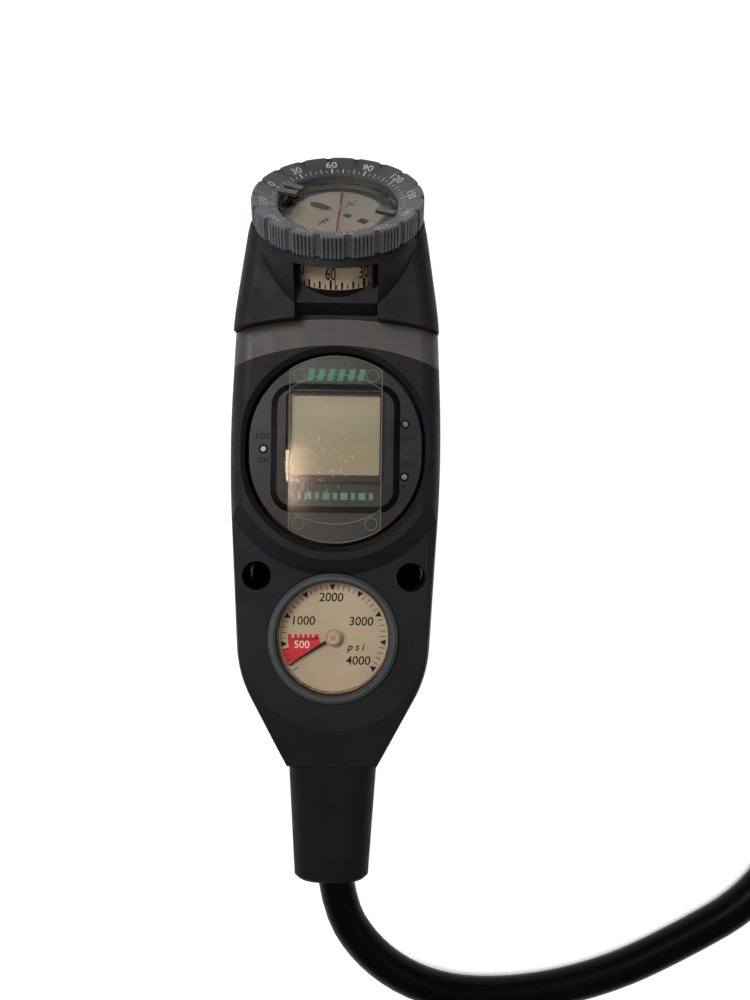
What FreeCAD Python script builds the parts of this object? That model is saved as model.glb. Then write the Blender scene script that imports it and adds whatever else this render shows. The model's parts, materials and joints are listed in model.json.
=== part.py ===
"""Dive instrument console with its high-pressure hose: compass, dive computer and pressure gauge in a rubber boot.

Millimetres. Z comes out of the instrument faces and Y runs from the hose towards the compass. The origin is
under the middle of the console, on the surface that its back lies on.
"""

import FreeCAD, Part
import math
import os

V = FreeCAD.Vector

# Stations along the console, from the hose's end to the back of the bezel
neck_length = 44.8
seam_to_gauge = 48.9
gauge_to_computer = 70.7
computer_to_compass = 93.2

# Levels of the console above its back
face_level = 33.0
rim_level = 36.5
flank_level = 45.0
back_edge_rounding = 6.0
top_edge_rounding = 7.0
floor_under_gauge = 4.2
floor_under_computer = 5.0

# Fits
seam_gap = 0.2
pocket_gap = 0.3
running_gap = 0.05
loose_gap = 0.1
turning_gap = 0.3

# Boot outline: half widths and corner roundings
computer_side_wall = 6.45
gauge_side_wall = 11.0
shoulder_half_width = 37.9
cradle_half_width = 29.0
seam_half_width = 16.9
seam_overrun = 14.4
seam_overrun_rounding = 12.0
gauge_corner_setback = 14.0
shoulder_setback = 1.1
cradle_back_margin = 0.9
boot_side_rounding = 680.0
shoulder_rounding = 150.0
gauge_rounding = 46.0
cradle_rounding = 33.0
tail_slope = 12.0
plateau_margin = 10.3
seam_lift = 3.0
seam_ramp = 13.0
heel_lift = 6.0
heel_ramp = 11.0

# Mound around the computer
mound_top_margin = 4.8
rim_lip = 2.0
mound_foot_margin = 10.9

# Clip holes
clip_hole_radius = 5.45
clip_hole_offset = 29.0
clip_hole_advance = 23.2

# Accent band
band_wall = 2.1
band_width = 9.9
band_low_arc = 93.0
band_high_arc = 150.0
tongue_offset = 26.0
tongue_width = 10.0
tongue_height = 12.0
tongue_depth = 7.0
tongue_level = 6.0
band_screw_radius = 1.5
band_screw_head_radius = 3.0
band_screw_head_height = 1.8
band_screw_length = 13.0
screw_recess = 0.6

# Neck sleeve
neck_half_width = 17.0
neck_half_height = 13.0
neck_corner = 12.5
tail_half_width = 14.2
tail_half_height = 11.5
tail_corner = 11.2
tail_edge = 1.2
spigot_radius = 11.0
spigot_length = 12.0
neck_bore_radius = 9.6
neck_grip_radius = 7.6
neck_mouth_radius = 9.3
neck_mouth_depth = 13.5
neck_taper_start = 2.0

# High-pressure line, measured from the middle of the gauge
line_height = 16.5
line_cavity_radius = 10.2
stem_start = 15.9
stem_length = 19.1
stem_radius = 5.0
stem_thread_radius = 6.6
stem_flange_radius = 8.0
stem_flange_thickness = 2.4
spool_radius = 2.5
spool_length = 12.0
nut_across_flats = 16.0
nut_length = 15.8
nut_wall_back = 2.4
barb_collar_radius = 6.4
barb_collar_length = 3.3
barb_neck_radius = 4.3
barb_neck_length = 4.7
ferrule_radius = 8.2
ferrule_length = 24.7

# Pressure gauge
gauge_case_radius = 22.6
gauge_case_wall = 1.7
gauge_ledge = 1.4
gauge_floor = 1.7
gauge_ring_radius = 24.4
gauge_ring_height = 6.5
gauge_ring_lip = 1.25
gauge_ring_bore = 21.3
gauge_proud = 2.5
gauge_lens_thickness = 2.6
gasket_thickness = 0.6
dial_radius = 20.7
dial_thickness = 0.8
dial_depth = 3.6
shaft_radius = 0.9
arbor_radius = 5.3
needle_length = 20.0
needle_width = 0.65
needle_tail = 2.8
needle_clearance = 0.9
needle_shaft_end = 0.8
needle_thickness = 0.6
needle_angle = 212.7
needle_hub_radius = 2.2
hub_cap_radius = 3.2
hub_cap_height = 1.7
bourdon_radius = 15.0
bourdon_step = 2.2
bourdon_wall = 1.2
bourdon_height = 3.0
bourdon_half_turns = 5
frame_bar_width = 6.0
frame_bar_thickness = 1.5
frame_pillar_radius = 1.3
frame_pillar_offset = 17.9
blowout_radius = 2.2
blowout_offset = 13.0

# Dive computer
computer_opening_radius = 33.7
cover_margin = 1.4
cover_overhang = 1.8
computer_straight = 2.7
computer_wall = 2.2
cover_level = 32.5
cover_ledge = 25.8
cover_roof = 2.2
cover_skirt = 1.5
window_margin = 10.6
window_slope = 2.5
window_offset = 0.5
window_level = 35.0
window_corner = 6.0
lens_side_frame = 3.2
lens_end_frame = 4.4
lens_offset = 4.4
lens_corner = 3.0
lens_thickness = 2.0
lens_seat = 1.0
mask_corner = 1.0
display_offset = 5.3
display_side_frame = 2.0
display_end_frame = 2.5
glass_thickness = 1.8
mask_thickness = 0.6
board_level = 20.0
board_thickness = 1.6
board_ledge = 2.5
board_gap = 0.3
post_radius = 3.0
post_angle = 27.7
post_wall_overlap = 0.1
case_screw_radius = 1.25
case_screw_head_radius = 2.4
battery_radius = 12.25
battery_height = 5.0
battery_cap_radius = 14.4
battery_cap_height = 3.4
battery_well_wall = 2.0
oring_radius = 0.7
stud_radius = 1.0
stud_proud = 0.4
left_stud_margin = 5.3
right_stud_margin = 6.3
right_stud_spread = 9.9
sensor_radius = 3.0
sensor_height = 5.0
sensor_pin_radius = 0.4
sensor_margin = 8.5
buzzer_radius = 5.0
buzzer_margin = 11.0
chip_margin = 11.0

# Clear guard over the computer's window
guard_side_inset = 4.4
guard_thickness = 1.4
guard_gap = 0.3
guard_plate_overhang = 6.2
guard_plate_arc_inset = 2.1
guard_tab_arc_inset = 0.9
guard_lift = 0.4
guard_pad_radius = 2.3
guard_pad_inset = 3.6
guard_pad_overhang = 6.0

# Compass, measured down its own axis from the top of the bezel
compass_tilt = 49.0
compass_height = 42.0
bezel_radius = 31.9
bezel_height = 9.0
bezel_bore_radius = 22.2
bezel_top_inset = 0.7
bezel_dish = 3.0
bezel_lobes = 18
lobe_phase = 3.4
lobe_notch_angle = 4.5
lobe_notch_depth = 1.2
bezel_clicks = 72
click_depth = 0.5
bezel_zero = 155.0
post_inner_radius = 16.0
post_seat = 1.0
post_width = 3.0
post_height = 1.3
post_spread = 7.0
rim_drop = 9.3
collar_radius = 32.5
collar_top_radius = 30.3
collar_shoulder = 2.7
collar_wall = 1.5
capsule_radius = 26.0
capsule_wall = 1.8
capsule_lens_drop = 4.8
capsule_lens_thickness = 2.2
capsule_shoulder = 9.5
capsule_depth = 28.5
capsule_base_thickness = 1.8
snap_groove_drop = 6.4
snap_groove_width = 1.2
snap_ring_wall = 1.3
snap_ring_height = 0.8
snap_gap_angle = 24.0
card_radius = 16.5
card_drop = 7.8
card_skirt_radius = 23.4
card_skirt_drop = 12.2
card_depth = 26.0
card_wall = 0.8
card_clearance = 0.6
pivot_radius = 1.0
jewel_radius = 2.0
jewel_height = 3.0
magnet_length = 16.0
magnet_size = 2.4
magnet_offset = 6.0
diaphragm_radius = 5.5
diaphragm_offset = 14.0
diaphragm_thickness = 0.6
spring_angle = 90.0
window_top_drop = 14.5
window_bevel = 2.6
side_window_half_width = 13.2
channel_half_width = 15.2
channel_floor = 35.8
channel_wall = 1.0
window_sink = 1.1
channel_foot = 1.5

# Hose, laid on the surface beside the console: a free stretch by chosen points, then a round coil
hose_radius = 6.9
hose_floor_gap = 0.1
hose_exit_run = 32.5
coil_x = 259.7
coil_y = -123.3
coil_radius = 70.0
coil_entry_run = 30.0
coil_turns = 1.3
coil_start_angle = 157.5
coil_climb_start = 0.38
coil_climb_end = 0.9
coil_layer_gap = 0.5
coil_end_lift = 2.4
coil_steps_per_turn = 8
tie_turn = 1.12
tie_width = 9.0
tie_thickness = 1.1
tie_gap = 0.3
port_hex_across_flats = 17.5
port_hex_length = 13.0
port_thread_radius = 5.56
port_thread_length = 10.0
port_neck_radius = 4.6
port_neck_run = 3.0
port_groove_width = 2.0
gas_bore_radius = 1.2

# Worked out from the sizes above
tilt = math.radians(compass_tilt)
console_length = (neck_length + seam_to_gauge + gauge_to_computer + computer_to_compass
                  + bezel_radius * math.cos(tilt))
tail_y = -console_length / 2
seam_y = tail_y + neck_length
gauge_y = seam_y + seam_to_gauge
computer_y = gauge_y + gauge_to_computer
compass_y = computer_y + computer_to_compass
computer_cover_radius = computer_opening_radius - cover_margin
computer_radius = computer_cover_radius - cover_overhang
computer_inner_radius = computer_radius - computer_wall
computer_inner_reach = computer_inner_radius + computer_straight
window_half_width = computer_cover_radius - window_margin
window_half_height = window_half_width
lens_half_width = window_half_width - lens_side_frame
lens_half_height = window_half_height - lens_end_frame
display_half_width = lens_half_width - display_side_frame
display_half_height = lens_half_height - display_end_frame
post_circle = computer_inner_radius + post_wall_overlap - post_radius
post_x = post_circle * math.cos(math.radians(post_angle))
post_y = post_circle * math.sin(math.radians(post_angle)) + computer_straight
sensor_offset = computer_inner_reach - sensor_margin
buzzer_offset = computer_inner_reach - buzzer_margin
chip_offset = computer_inner_reach - chip_margin
guard_half_width = window_half_width - guard_side_inset
guard_plate_reach = window_half_height + guard_plate_overhang
guard_plate_arc = computer_cover_radius - guard_plate_arc_inset
guard_tab_reach = computer_cover_radius + computer_straight
guard_tab_arc = computer_cover_radius - guard_tab_arc_inset
guard_pad_x = guard_half_width - guard_pad_inset
guard_pad_y = window_half_height + guard_pad_overhang
band_low_y = computer_y + computer_straight + computer_opening_radius + band_wall
band_high_y = band_low_y + band_width
boot_half_width = computer_opening_radius + computer_side_wall
gauge_opening_radius = gauge_ring_radius + pocket_gap
gauge_pocket_radius = gauge_case_radius + pocket_gap
capsule_pocket_radius = capsule_radius + pocket_gap
collar_wall_radius = capsule_pocket_radius + collar_wall
cradle_back_y = compass_y - rim_drop * math.sin(tilt) + collar_top_radius * math.cos(tilt) + cradle_back_margin
gauge_ring_top = face_level + gauge_proud
gauge_ring_foot = gauge_ring_top - gauge_ring_height
gauge_lens_top = gauge_ring_top - gauge_ring_lip - running_gap
gauge_lens_foot = gauge_lens_top - gauge_lens_thickness
gauge_rim = gauge_lens_foot - gasket_thickness
gauge_base = floor_under_gauge + pocket_gap
gauge_cavity = gauge_base + gauge_floor
gauge_bore = gauge_case_radius - gauge_case_wall
dial_top = gauge_rim - dial_depth
dial_foot = dial_top - dial_thickness
computer_base = floor_under_computer + pocket_gap
cover_foot = cover_ledge + seam_gap
cover_step = cover_foot + cover_skirt
case_rim = cover_step - gasket_thickness
cover_ceiling = cover_level - cover_roof
cap_top = computer_base + battery_cap_height
battery_foot = cap_top + seam_gap
battery_top = battery_foot + battery_height
contact_height = 1.0
well_ceiling = battery_top + loose_gap + contact_height
lens_foot = window_level - lens_thickness
coil_level = hose_radius + tie_gap + tie_thickness + hose_floor_gap
hose_level = hose_radius + hose_floor_gap
hose_bends = (
    (15.2, -172.6, hose_level + 5.5), (42.6, -188.7, hose_level + 0.8), (78.0, -188.9, hose_level),
    (111.0, -180.4, hose_level), (139.0, -166.5, hose_level), (166.0, -150.5, hose_level + 0.4),
)


def cylinder(radius, low, high, x=0.0, y=0.0):
    return Part.makeCylinder(radius, high - low, V(x, y, low))


def ring(outer, inner, low, high, x=0.0, y=0.0):
    return cylinder(outer, low, high, x, y).cut(cylinder(inner, low - 1, high + 1, x, y))


def frustum(low_radius, high_radius, low, high, x=0.0, y=0.0):
    return Part.makeCone(low_radius, high_radius, high - low, V(x, y, low))


def block(x0, x1, y0, y1, z0, z1):
    return Part.makeBox(x1 - x0, y1 - y0, z1 - z0, V(x0, y0, z0))


def rounded_outline(corners, z):
    """Closed wire at the height z: straight sides and tangent arcs, from one (x, y, radius) a corner."""
    count = len(corners)
    starts = []
    middles = []
    ends = []
    for index, (x, y, radius) in enumerate(corners):
        here = V(x, y, z)
        back = V(corners[index - 1][0], corners[index - 1][1], z) - here
        ahead = V(corners[(index + 1) % count][0], corners[(index + 1) % count][1], z) - here
        half_turn = (math.pi - back.getAngle(ahead)) / 2
        reach = min(radius * math.tan(half_turn), 0.49 * back.Length, 0.49 * ahead.Length)
        back.normalize()
        ahead.normalize()
        inward = (back + ahead).normalize()
        bend = reach / math.tan(half_turn)
        starts.append(here + back * reach)
        ends.append(here + ahead * reach)
        middles.append(here + inward * (bend / math.cos(half_turn) - bend))
    edges = []
    for index in range(count):
        edges.append(Part.Arc(starts[index], middles[index], ends[index]).toShape())
        following = starts[(index + 1) % count]
        if (following - ends[index]).Length > 1e-6:
            edges.append(Part.LineSegment(ends[index], following).toShape())
    return Part.Wire(edges)


def both_sides(right_half):
    """Corners of a shape that is alike left and right, from its right half listed bottom to top."""
    return right_half + [(-x, y, radius) for x, y, radius in reversed(right_half)]


def prism(corners, low, high):
    return Part.Face(rounded_outline(corners, low)).extrude(V(0, 0, high - low))


def rounded_block(half_width, half_height, corner, low, high, y=0.0):
    corners = both_sides([(half_width, y - half_height, corner), (half_width, y + half_height, corner)])
    return prism(corners, low, high)


def side_profile(points, half_width):
    """Prism across the console from a polygon of (y, z) points."""
    corners = [V(-half_width, y, z) for y, z in points]
    face = Part.Face(Part.makePolygon(corners + corners[:1]))
    return face.extrude(V(2 * half_width, 0, 0))


def obround_wire(radius, straight, z, y):
    right = [V(radius, y - straight, z), V(radius, y + straight, z)]
    left = [V(-radius, y + straight, z), V(-radius, y - straight, z)]
    top = V(0, y + straight + radius, z)
    foot = V(0, y - straight - radius, z)
    return Part.Wire([
        Part.LineSegment(right[0], right[1]).toShape(),
        Part.Arc(right[1], top, left[0]).toShape(),
        Part.LineSegment(left[0], left[1]).toShape(),
        Part.Arc(left[1], foot, right[0]).toShape(),
    ])


def obround(radius, low, high):
    """Round computer shape: two half circles joined by a short straight."""
    wire = obround_wire(radius, computer_straight, low, computer_y)
    return Part.Face(wire).extrude(V(0, 0, high - low))


def obround_ring(outer, inner, low, high):
    return obround(outer, low, high).cut(obround(inner, low - 1, high + 1))


def obround_cone(low_radius, high_radius, low, high):
    low_wire = obround_wire(low_radius, computer_straight, low, computer_y)
    high_wire = obround_wire(high_radius, computer_straight, high, computer_y)
    return Part.makeLoft([low_wire, high_wire], True, True)


def hexagon(across_flats, low, high):
    corner = across_flats / math.sqrt(3)
    points = [V(corner * math.cos(math.radians(60 * k + 30)), corner * math.sin(math.radians(60 * k + 30)), low)
              for k in range(6)]
    return Part.Face(Part.makePolygon(points + points[:1])).extrude(V(0, 0, high - low))


def turned(profile):
    """Solid of revolution about Z from (radius, z) points."""
    points = [V(radius, 0, z) for radius, z in profile]
    return Part.Face(Part.makePolygon(points + points[:1])).revolve(V(0, 0, 0), V(0, 0, 1), 360)


def in_compass(shape):
    """Moves a shape from the compass's own axes, with Z up its axis and zero at the bezel's top, to its place."""
    placed = shape.copy()
    placed.rotate(V(0, 0, 0), V(1, 0, 0), -compass_tilt)
    placed.translate(V(0, compass_y, compass_height))
    return placed


def on_line(shape):
    """Moves a shape built along Z, with zero under the gauge's middle, on to the high-pressure line."""
    placed = shape.copy()
    placed.rotate(V(0, 0, 0), V(1, 0, 0), 90)
    placed.translate(V(0, gauge_y, line_height))
    return placed


def at_gauge(shape):
    placed = shape.copy()
    placed.translate(V(0, gauge_y, 0))
    return placed


def at_computer(shape):
    placed = shape.copy()
    placed.translate(V(0, computer_y, 0))
    return placed


def joined(first, *others):
    return first.fuse(list(others)).removeSplitter()


def save(name, shape):
    solids = shape.Solids
    result = solids[0] if len(solids) == 1 else Part.makeCompound(solids)
    if not result.isValid():
        print("not valid:", name)
    result.exportStep("parts/" + name + ".step")
    print(f"{name}: {len(solids)} solid(s), {sum(s.Volume for s in solids):.1f} mm3")


# Outline and blanks of the console

def console_outline():
    gauge_corner_y = gauge_y - gauge_corner_setback
    gauge_half_width = gauge_opening_radius + gauge_side_wall
    narrowing = (gauge_half_width - seam_half_width) / (gauge_corner_y - seam_y)
    return both_sides([
        (seam_half_width - narrowing * seam_overrun, seam_y - seam_overrun, seam_overrun_rounding),
        (gauge_half_width, gauge_corner_y, gauge_rounding),
        (boot_half_width, computer_y - computer_straight, boot_side_rounding),
        (shoulder_half_width, band_high_y - shoulder_setback, shoulder_rounding),
        (cradle_half_width, cradle_back_y, cradle_rounding),
    ])


def console_blank(top):
    """The whole outline up to one level, its top and back edges rounded, its two ends lifted underneath."""
    blank = prism(console_outline(), 0, top)
    top_edges = [e for e in blank.Edges if min(v.Z for v in e.Vertexes) > top - 1e-6]
    blank = blank.makeFillet(top_edge_rounding, top_edges)
    back_edges = [e for e in blank.Edges if max(v.Z for v in e.Vertexes) < 1e-6]
    blank = blank.makeFillet(back_edge_rounding, back_edges)
    overrun = 30.0
    seam_wedge = side_profile([
        (seam_y + seam_ramp, 0), (seam_y + seam_ramp, -1), (seam_y - overrun, -1),
        (seam_y - overrun, seam_lift * (overrun + seam_ramp) / seam_ramp)], 60)
    heel_start = cradle_back_y - heel_ramp
    heel_wedge = side_profile([
        (heel_start, 0), (heel_start, -1), (cradle_back_y + overrun, -1),
        (cradle_back_y + overrun, heel_lift * (overrun + heel_ramp) / heel_ramp)], 60)
    return blank.cut([seam_wedge, heel_wedge])


def band_cylinder(edge_y, arc, gap):
    """Tall cylinder whose top reaches an edge of the band, moved along by a gap."""
    return cylinder(arc, -10, 90, 0, edge_y - arc + gap)


# Main boot

def boot_shaper():
    """What the boot's top stays under: level face, slopes round the gauge, and the mound round the computer."""
    plateau_radius = gauge_opening_radius + plateau_margin
    spread = face_level / math.tan(math.radians(tail_slope))
    slopes = frustum(plateau_radius + spread, plateau_radius, 0, face_level, 0, gauge_y)
    low = [V(x, gauge_y, z) for x, z in (
        (-plateau_radius - spread, 0), (plateau_radius + spread, 0),
        (plateau_radius, face_level), (-plateau_radius, face_level))]
    plateau = Part.Face(Part.makePolygon(low + low[:1])).extrude(V(0, computer_y - gauge_y + 1, 0))
    mound = obround_cone(computer_opening_radius + mound_foot_margin,
                         computer_opening_radius + mound_top_margin, face_level, rim_level)
    mound_foot = obround(computer_opening_radius + mound_foot_margin, 0, face_level)
    upper = block(-60, 60, computer_y, band_high_y + 10, 0, rim_level)
    return joined(slopes, plateau, mound, mound_foot, upper)


def line_cavity(radius, start, end):
    return on_line(cylinder(radius, start, end))


def clip_hole(side):
    return cylinder(clip_hole_radius, -1, face_level + 5, side * clip_hole_offset, gauge_y + clip_hole_advance)


def tongue_y(side_edge_y, arc):
    return side_edge_y - arc + math.sqrt(arc ** 2 - tongue_offset ** 2)


def tongues(grow):
    """The band's four tongues, two into the boot and two into the cradle, grown by a clearance."""
    half = tongue_width / 2 + grow
    low_y = tongue_y(band_low_y, band_low_arc)
    high_y = tongue_y(band_high_y, band_high_arc)
    shapes = []
    for side in (-1, 1):
        x = side * tongue_offset
        shapes.append(block(x - half, x + half, low_y - tongue_depth - grow, high_y + tongue_depth + grow,
                            tongue_level - grow, tongue_level + tongue_height + grow))
    return shapes


def band_screw_places():
    """Screw positions: the middle of each tongue that stands out of the band."""
    low_y = tongue_y(band_low_y, band_low_arc) - tongue_depth * 0.55
    high_y = tongue_y(band_high_y, band_high_arc) + tongue_depth * 0.55
    return [(side * tongue_offset, y) for side in (-1, 1) for y in (low_y, high_y)]


def band_screw(x, y, grow=0.0):
    head = cylinder(band_screw_head_radius + grow, screw_recess - grow, screw_recess + band_screw_head_height + grow,
                    x, y)
    shank = cylinder(band_screw_radius + grow, screw_recess, screw_recess + band_screw_length + grow, x, y)
    return joined(head, shank)


def band_screw_hole(x, y):
    mouth = cylinder(band_screw_head_radius + loose_gap, -1, screw_recess, x, y)
    return joined(mouth, band_screw(x, y, loose_gap))


def main_boot():
    boot = console_blank(rim_level).common(boot_shaper())
    boot = boot.common(band_cylinder(band_low_y, band_low_arc, -seam_gap / 2))
    boot = boot.cut(block(-60, 60, seam_y - 100, seam_y, -10, 60))
    nut_end = seam_y + spigot_length
    cuts = [
        cylinder(gauge_pocket_radius, floor_under_gauge, face_level + 5, 0, gauge_y),
        cylinder(gauge_opening_radius, gauge_ring_foot - seam_gap, face_level + 5, 0, gauge_y),
        obround(computer_radius + pocket_gap, floor_under_computer, rim_level + 5),
        obround(computer_opening_radius, cover_ledge, rim_level + 5),
        obround_cone(computer_opening_radius, computer_opening_radius + rim_lip, rim_level - rim_lip, rim_level),
        line_cavity(line_cavity_radius, 0, gauge_y - nut_end),
        line_cavity(spigot_radius + seam_gap, gauge_y - nut_end - seam_gap, gauge_y - seam_y + 1),
        clip_hole(-1), clip_hole(1),
    ]
    boot = boot.cut(cuts)
    boot = boot.cut(tongues(loose_gap))
    return boot.cut([band_screw_hole(x, y) for x, y in band_screw_places()])


# Accent band

def accent_band():
    band = console_blank(rim_level).common(band_cylinder(band_high_y, band_high_arc, -seam_gap / 2))
    band = band.cut(band_cylinder(band_low_y, band_low_arc, seam_gap / 2))
    band = band.common(block(-60, 60, computer_y, band_high_y + 10, -10, 60))
    band = joined(band, *tongues(0.0))
    return band.cut([cylinder(band_screw_radius + running_gap, -1, screw_recess + band_screw_length + loose_gap, x, y)
                     for x, y in band_screw_places()])


# Compass cradle

def above_rim_plane():
    return in_compass(block(-90, 90, -90, 90, -rim_drop, 120))


def collar():
    """Wall round the compass capsule, narrowed under the bezel."""
    depth = capsule_depth + 8
    return in_compass(turned([
        (0, -rim_drop), (collar_top_radius, -rim_drop), (collar_radius, -rim_drop - collar_shoulder),
        (collar_radius, -depth), (0, -depth)]))


def viewing_channel():
    """Open way in front of the side window: a sill in front of the capsule's foot and a ramp from it to the band."""
    sill = flank_level - window_sink
    sill_y = (compass_y - math.cos(tilt) * capsule_pocket_radius - math.sin(tilt) * (capsule_depth + pocket_gap)
              - channel_wall)
    upper = block(-channel_half_width, channel_half_width, band_low_y - 10, compass_y, sill, 90)
    thin_wall = in_compass(cylinder(collar_wall_radius, -60, -rim_drop))
    above = in_compass(cylinder(60, -window_top_drop + window_bevel, 30))
    lower = side_profile([
        (band_low_y - 10, channel_floor), (band_high_y + channel_foot, channel_floor), (sill_y, sill),
        (sill_y, sill + 1), (band_low_y - 10, sill + 1)], channel_half_width)
    return joined(upper.cut([thin_wall, above]), lower)


def side_window():
    """Opening through the thin wall, from the sill up to the collar's rim."""
    opening = block(-side_window_half_width, side_window_half_width, band_low_y, compass_y,
                    flank_level - window_sink, 90)
    return opening.common(in_compass(cylinder(60, -60, -window_top_drop)))


def spring_slot():
    return in_compass(spring_leaf(0.2))


def compass_cradle():
    cap = console_blank(flank_level)
    cap = joined(cap, collar().common(block(-60, 60, band_high_y, cradle_back_y + 40, 2, 90)))
    cap = cap.cut(band_cylinder(band_high_y, band_high_arc, seam_gap / 2))
    cap = cap.common(block(-60, 60, band_low_y - 20, cradle_back_y + 40, -10, 90))
    cap = cap.cut([above_rim_plane(), viewing_channel(), side_window()])
    cap = cap.cut(in_compass(cylinder(capsule_pocket_radius, -capsule_depth - pocket_gap, 30)))
    cap = cap.cut(tongues(loose_gap))
    cap = cap.cut([band_screw_hole(x, y) for x, y in band_screw_places()])
    return cap.cut(spring_slot())


# Neck sleeve

def neck_section(half_width, half_height, corner, distance):
    """Rounded rectangle across the line, at a distance from the gauge's middle."""
    corners = both_sides([(half_width, -half_height, corner), (half_width, half_height, corner)])
    return on_line(rounded_outline(corners, distance))


def neck_sleeve():
    seam = gauge_y - seam_y
    tail = gauge_y - tail_y
    taper = (tail - tail_edge - seam) / (tail - seam)
    near_tail = [neck + (end - neck) * taper for neck, end in (
        (neck_half_width, tail_half_width), (neck_half_height, tail_half_height), (neck_corner, tail_corner))]
    sections = [
        neck_section(neck_half_width, neck_half_height, neck_corner, seam + seam_gap / 2),
        neck_section(*near_tail, tail - tail_edge),
        neck_section(tail_half_width - tail_edge, tail_half_height - tail_edge, tail_corner - tail_edge, tail),
    ]
    sleeve = Part.makeLoft(sections, True, True)
    sleeve = joined(sleeve, on_line(cylinder(spigot_radius, seam - spigot_length, seam + 1)))
    grip = tail - neck_mouth_depth
    ferrule_end = gauge_y - hose_start_y() + neck_taper_start
    return sleeve.cut([
        on_line(cylinder(neck_bore_radius, 0, ferrule_end)),
        on_line(frustum(neck_bore_radius, neck_grip_radius, ferrule_end, grip)),
        on_line(frustum(neck_grip_radius, neck_mouth_radius, grip, tail + 0.01)),
    ])


# Gauge

def gauge_case():
    case = cylinder(gauge_case_radius, gauge_base, gauge_rim)
    case = case.cut(cylinder(gauge_bore - gauge_ledge, gauge_cavity, gauge_rim + 1))
    case = case.cut(cylinder(gauge_bore, dial_foot, gauge_rim + 1))
    case = case.cut(cylinder(blowout_radius + running_gap, 0, gauge_cavity + 1, 0, blowout_offset))
    return at_gauge(case).cut(line_cavity(stem_radius + running_gap, 0, gauge_case_radius + 5))


def gauge_bezel():
    inner = gauge_case_radius + running_gap
    return at_gauge(turned([
        (inner, gauge_ring_foot), (gauge_ring_radius, gauge_ring_foot),
        (gauge_ring_radius, gauge_ring_top - 1.2), (gauge_ring_radius - 1.2, gauge_ring_top),
        (gauge_ring_bore + 1.0, gauge_ring_top), (gauge_ring_bore, gauge_lens_top + running_gap),
        (inner, gauge_lens_top + running_gap)]))


def gauge_lens():
    return at_gauge(cylinder(gauge_case_radius - loose_gap, gauge_lens_foot, gauge_lens_top))


def lens_gasket():
    return at_gauge(ring(gauge_case_radius - loose_gap, gauge_bore + loose_gap, gauge_rim, gauge_lens_foot))


def dial_plate():
    return at_gauge(ring(dial_radius, needle_hub_radius - 0.7, dial_foot, dial_top))


def pointer():
    """Tapered needle with a short tail, in the plane above the dial."""
    foot = pointer_foot()
    tip = needle_width / 4
    blade = [V(-needle_tail, -needle_width, foot), V(needle_length, -tip, foot),
             V(needle_length, tip, foot), V(-needle_tail, needle_width, foot)]
    shape = Part.Face(Part.makePolygon(blade + blade[:1])).extrude(V(0, 0, needle_thickness))
    shape = joined(shape, cylinder(needle_hub_radius, foot, foot + needle_thickness))
    shape = shape.cut(cylinder(shaft_radius, foot - 1, foot + 2))
    shape.rotate(V(0, 0, 0), V(0, 0, 1), needle_angle)
    return at_gauge(shape)


def pointer_foot():
    return dial_top + needle_clearance


def hub_cap():
    foot = pointer_foot() + needle_thickness
    cap = turned([(0, foot), (hub_cap_radius, foot), (hub_cap_radius, foot + 1.0),
                  (hub_cap_radius - 0.7, foot + hub_cap_height), (0, foot + hub_cap_height)])
    return at_gauge(cap.cut(cylinder(shaft_radius, foot - 1, foot + needle_shaft_end)))


def pointer_shaft():
    foot = gauge_cavity + 0.6
    shaft = cylinder(shaft_radius, foot, pointer_foot() + needle_thickness + needle_shaft_end)
    arbor = cylinder(arbor_radius, line_height - bourdon_height / 2, line_height + bourdon_height / 2)
    return at_gauge(joined(shaft, arbor))


def bourdon_outline(offset):
    """Half circles of a flat spiral, each a step smaller than the last, moved in or out by an offset."""
    arcs = []
    for turn in range(bourdon_half_turns):
        radius = bourdon_radius - turn * bourdon_step + offset
        centre = -bourdon_step if turn % 2 else 0.0
        way = -1 if turn % 2 else 1
        start = V(centre + way * radius, 0, 0)
        middle = V(centre, way * radius, 0)
        end = V(centre - way * radius, 0, 0)
        arcs.append((start, middle, end))
    return arcs


def bourdon_spiral():
    outer = bourdon_outline(bourdon_wall / 2)
    inner = bourdon_outline(-bourdon_wall / 2)
    edges = [Part.Arc(*points).toShape() for points in outer + inner]
    edges.append(Part.LineSegment(outer[0][0], inner[0][0]).toShape())
    edges.append(Part.LineSegment(outer[-1][2], inner[-1][2]).toShape())
    wire = Part.Wire(Part.__sortEdges__(edges))
    tube = Part.Face(wire).extrude(V(0, 0, bourdon_height))
    tube.rotate(V(0, 0, 0), V(0, 0, 1), -90)
    tube.translate(V(0, 0, line_height - bourdon_height / 2))
    return at_gauge(tube)


def movement_frame():
    """Two bars on two pillars that carry the needle's shaft below and above the spiral tube."""
    reach = frame_pillar_offset + frame_pillar_radius
    half = frame_bar_width / 2
    bridge = dial_foot - 3.0
    low_bar = block(-reach, reach, -half, half, gauge_cavity, gauge_cavity + frame_bar_thickness)
    high_bar = block(-reach, reach, -half, half, bridge - frame_bar_thickness, bridge)
    inside = cylinder(gauge_bore - gauge_ledge - 0.05, gauge_cavity, dial_foot)
    pillars = [cylinder(frame_pillar_radius, gauge_cavity, dial_foot - 0.1, side * frame_pillar_offset, 0)
               for side in (-1, 1)]
    frame = joined(low_bar, high_bar, *pillars).common(inside)
    frame = frame.cut(cylinder(shaft_radius + running_gap, gauge_cavity + 0.5, dial_foot))
    return at_gauge(frame)


def blowout_plug():
    plug = cylinder(blowout_radius, gauge_base, gauge_cavity, 0, blowout_offset)
    flange = cylinder(blowout_radius + 1.2, gauge_cavity, gauge_cavity + 0.8, 0, blowout_offset)
    return at_gauge(joined(plug, flange))


# High-pressure line: stem, swivel, nut and barb, in order along the line

def stem_end():
    return stem_start + stem_length


def nut_start():
    return gauge_case_radius + stem_flange_thickness + seam_gap


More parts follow.
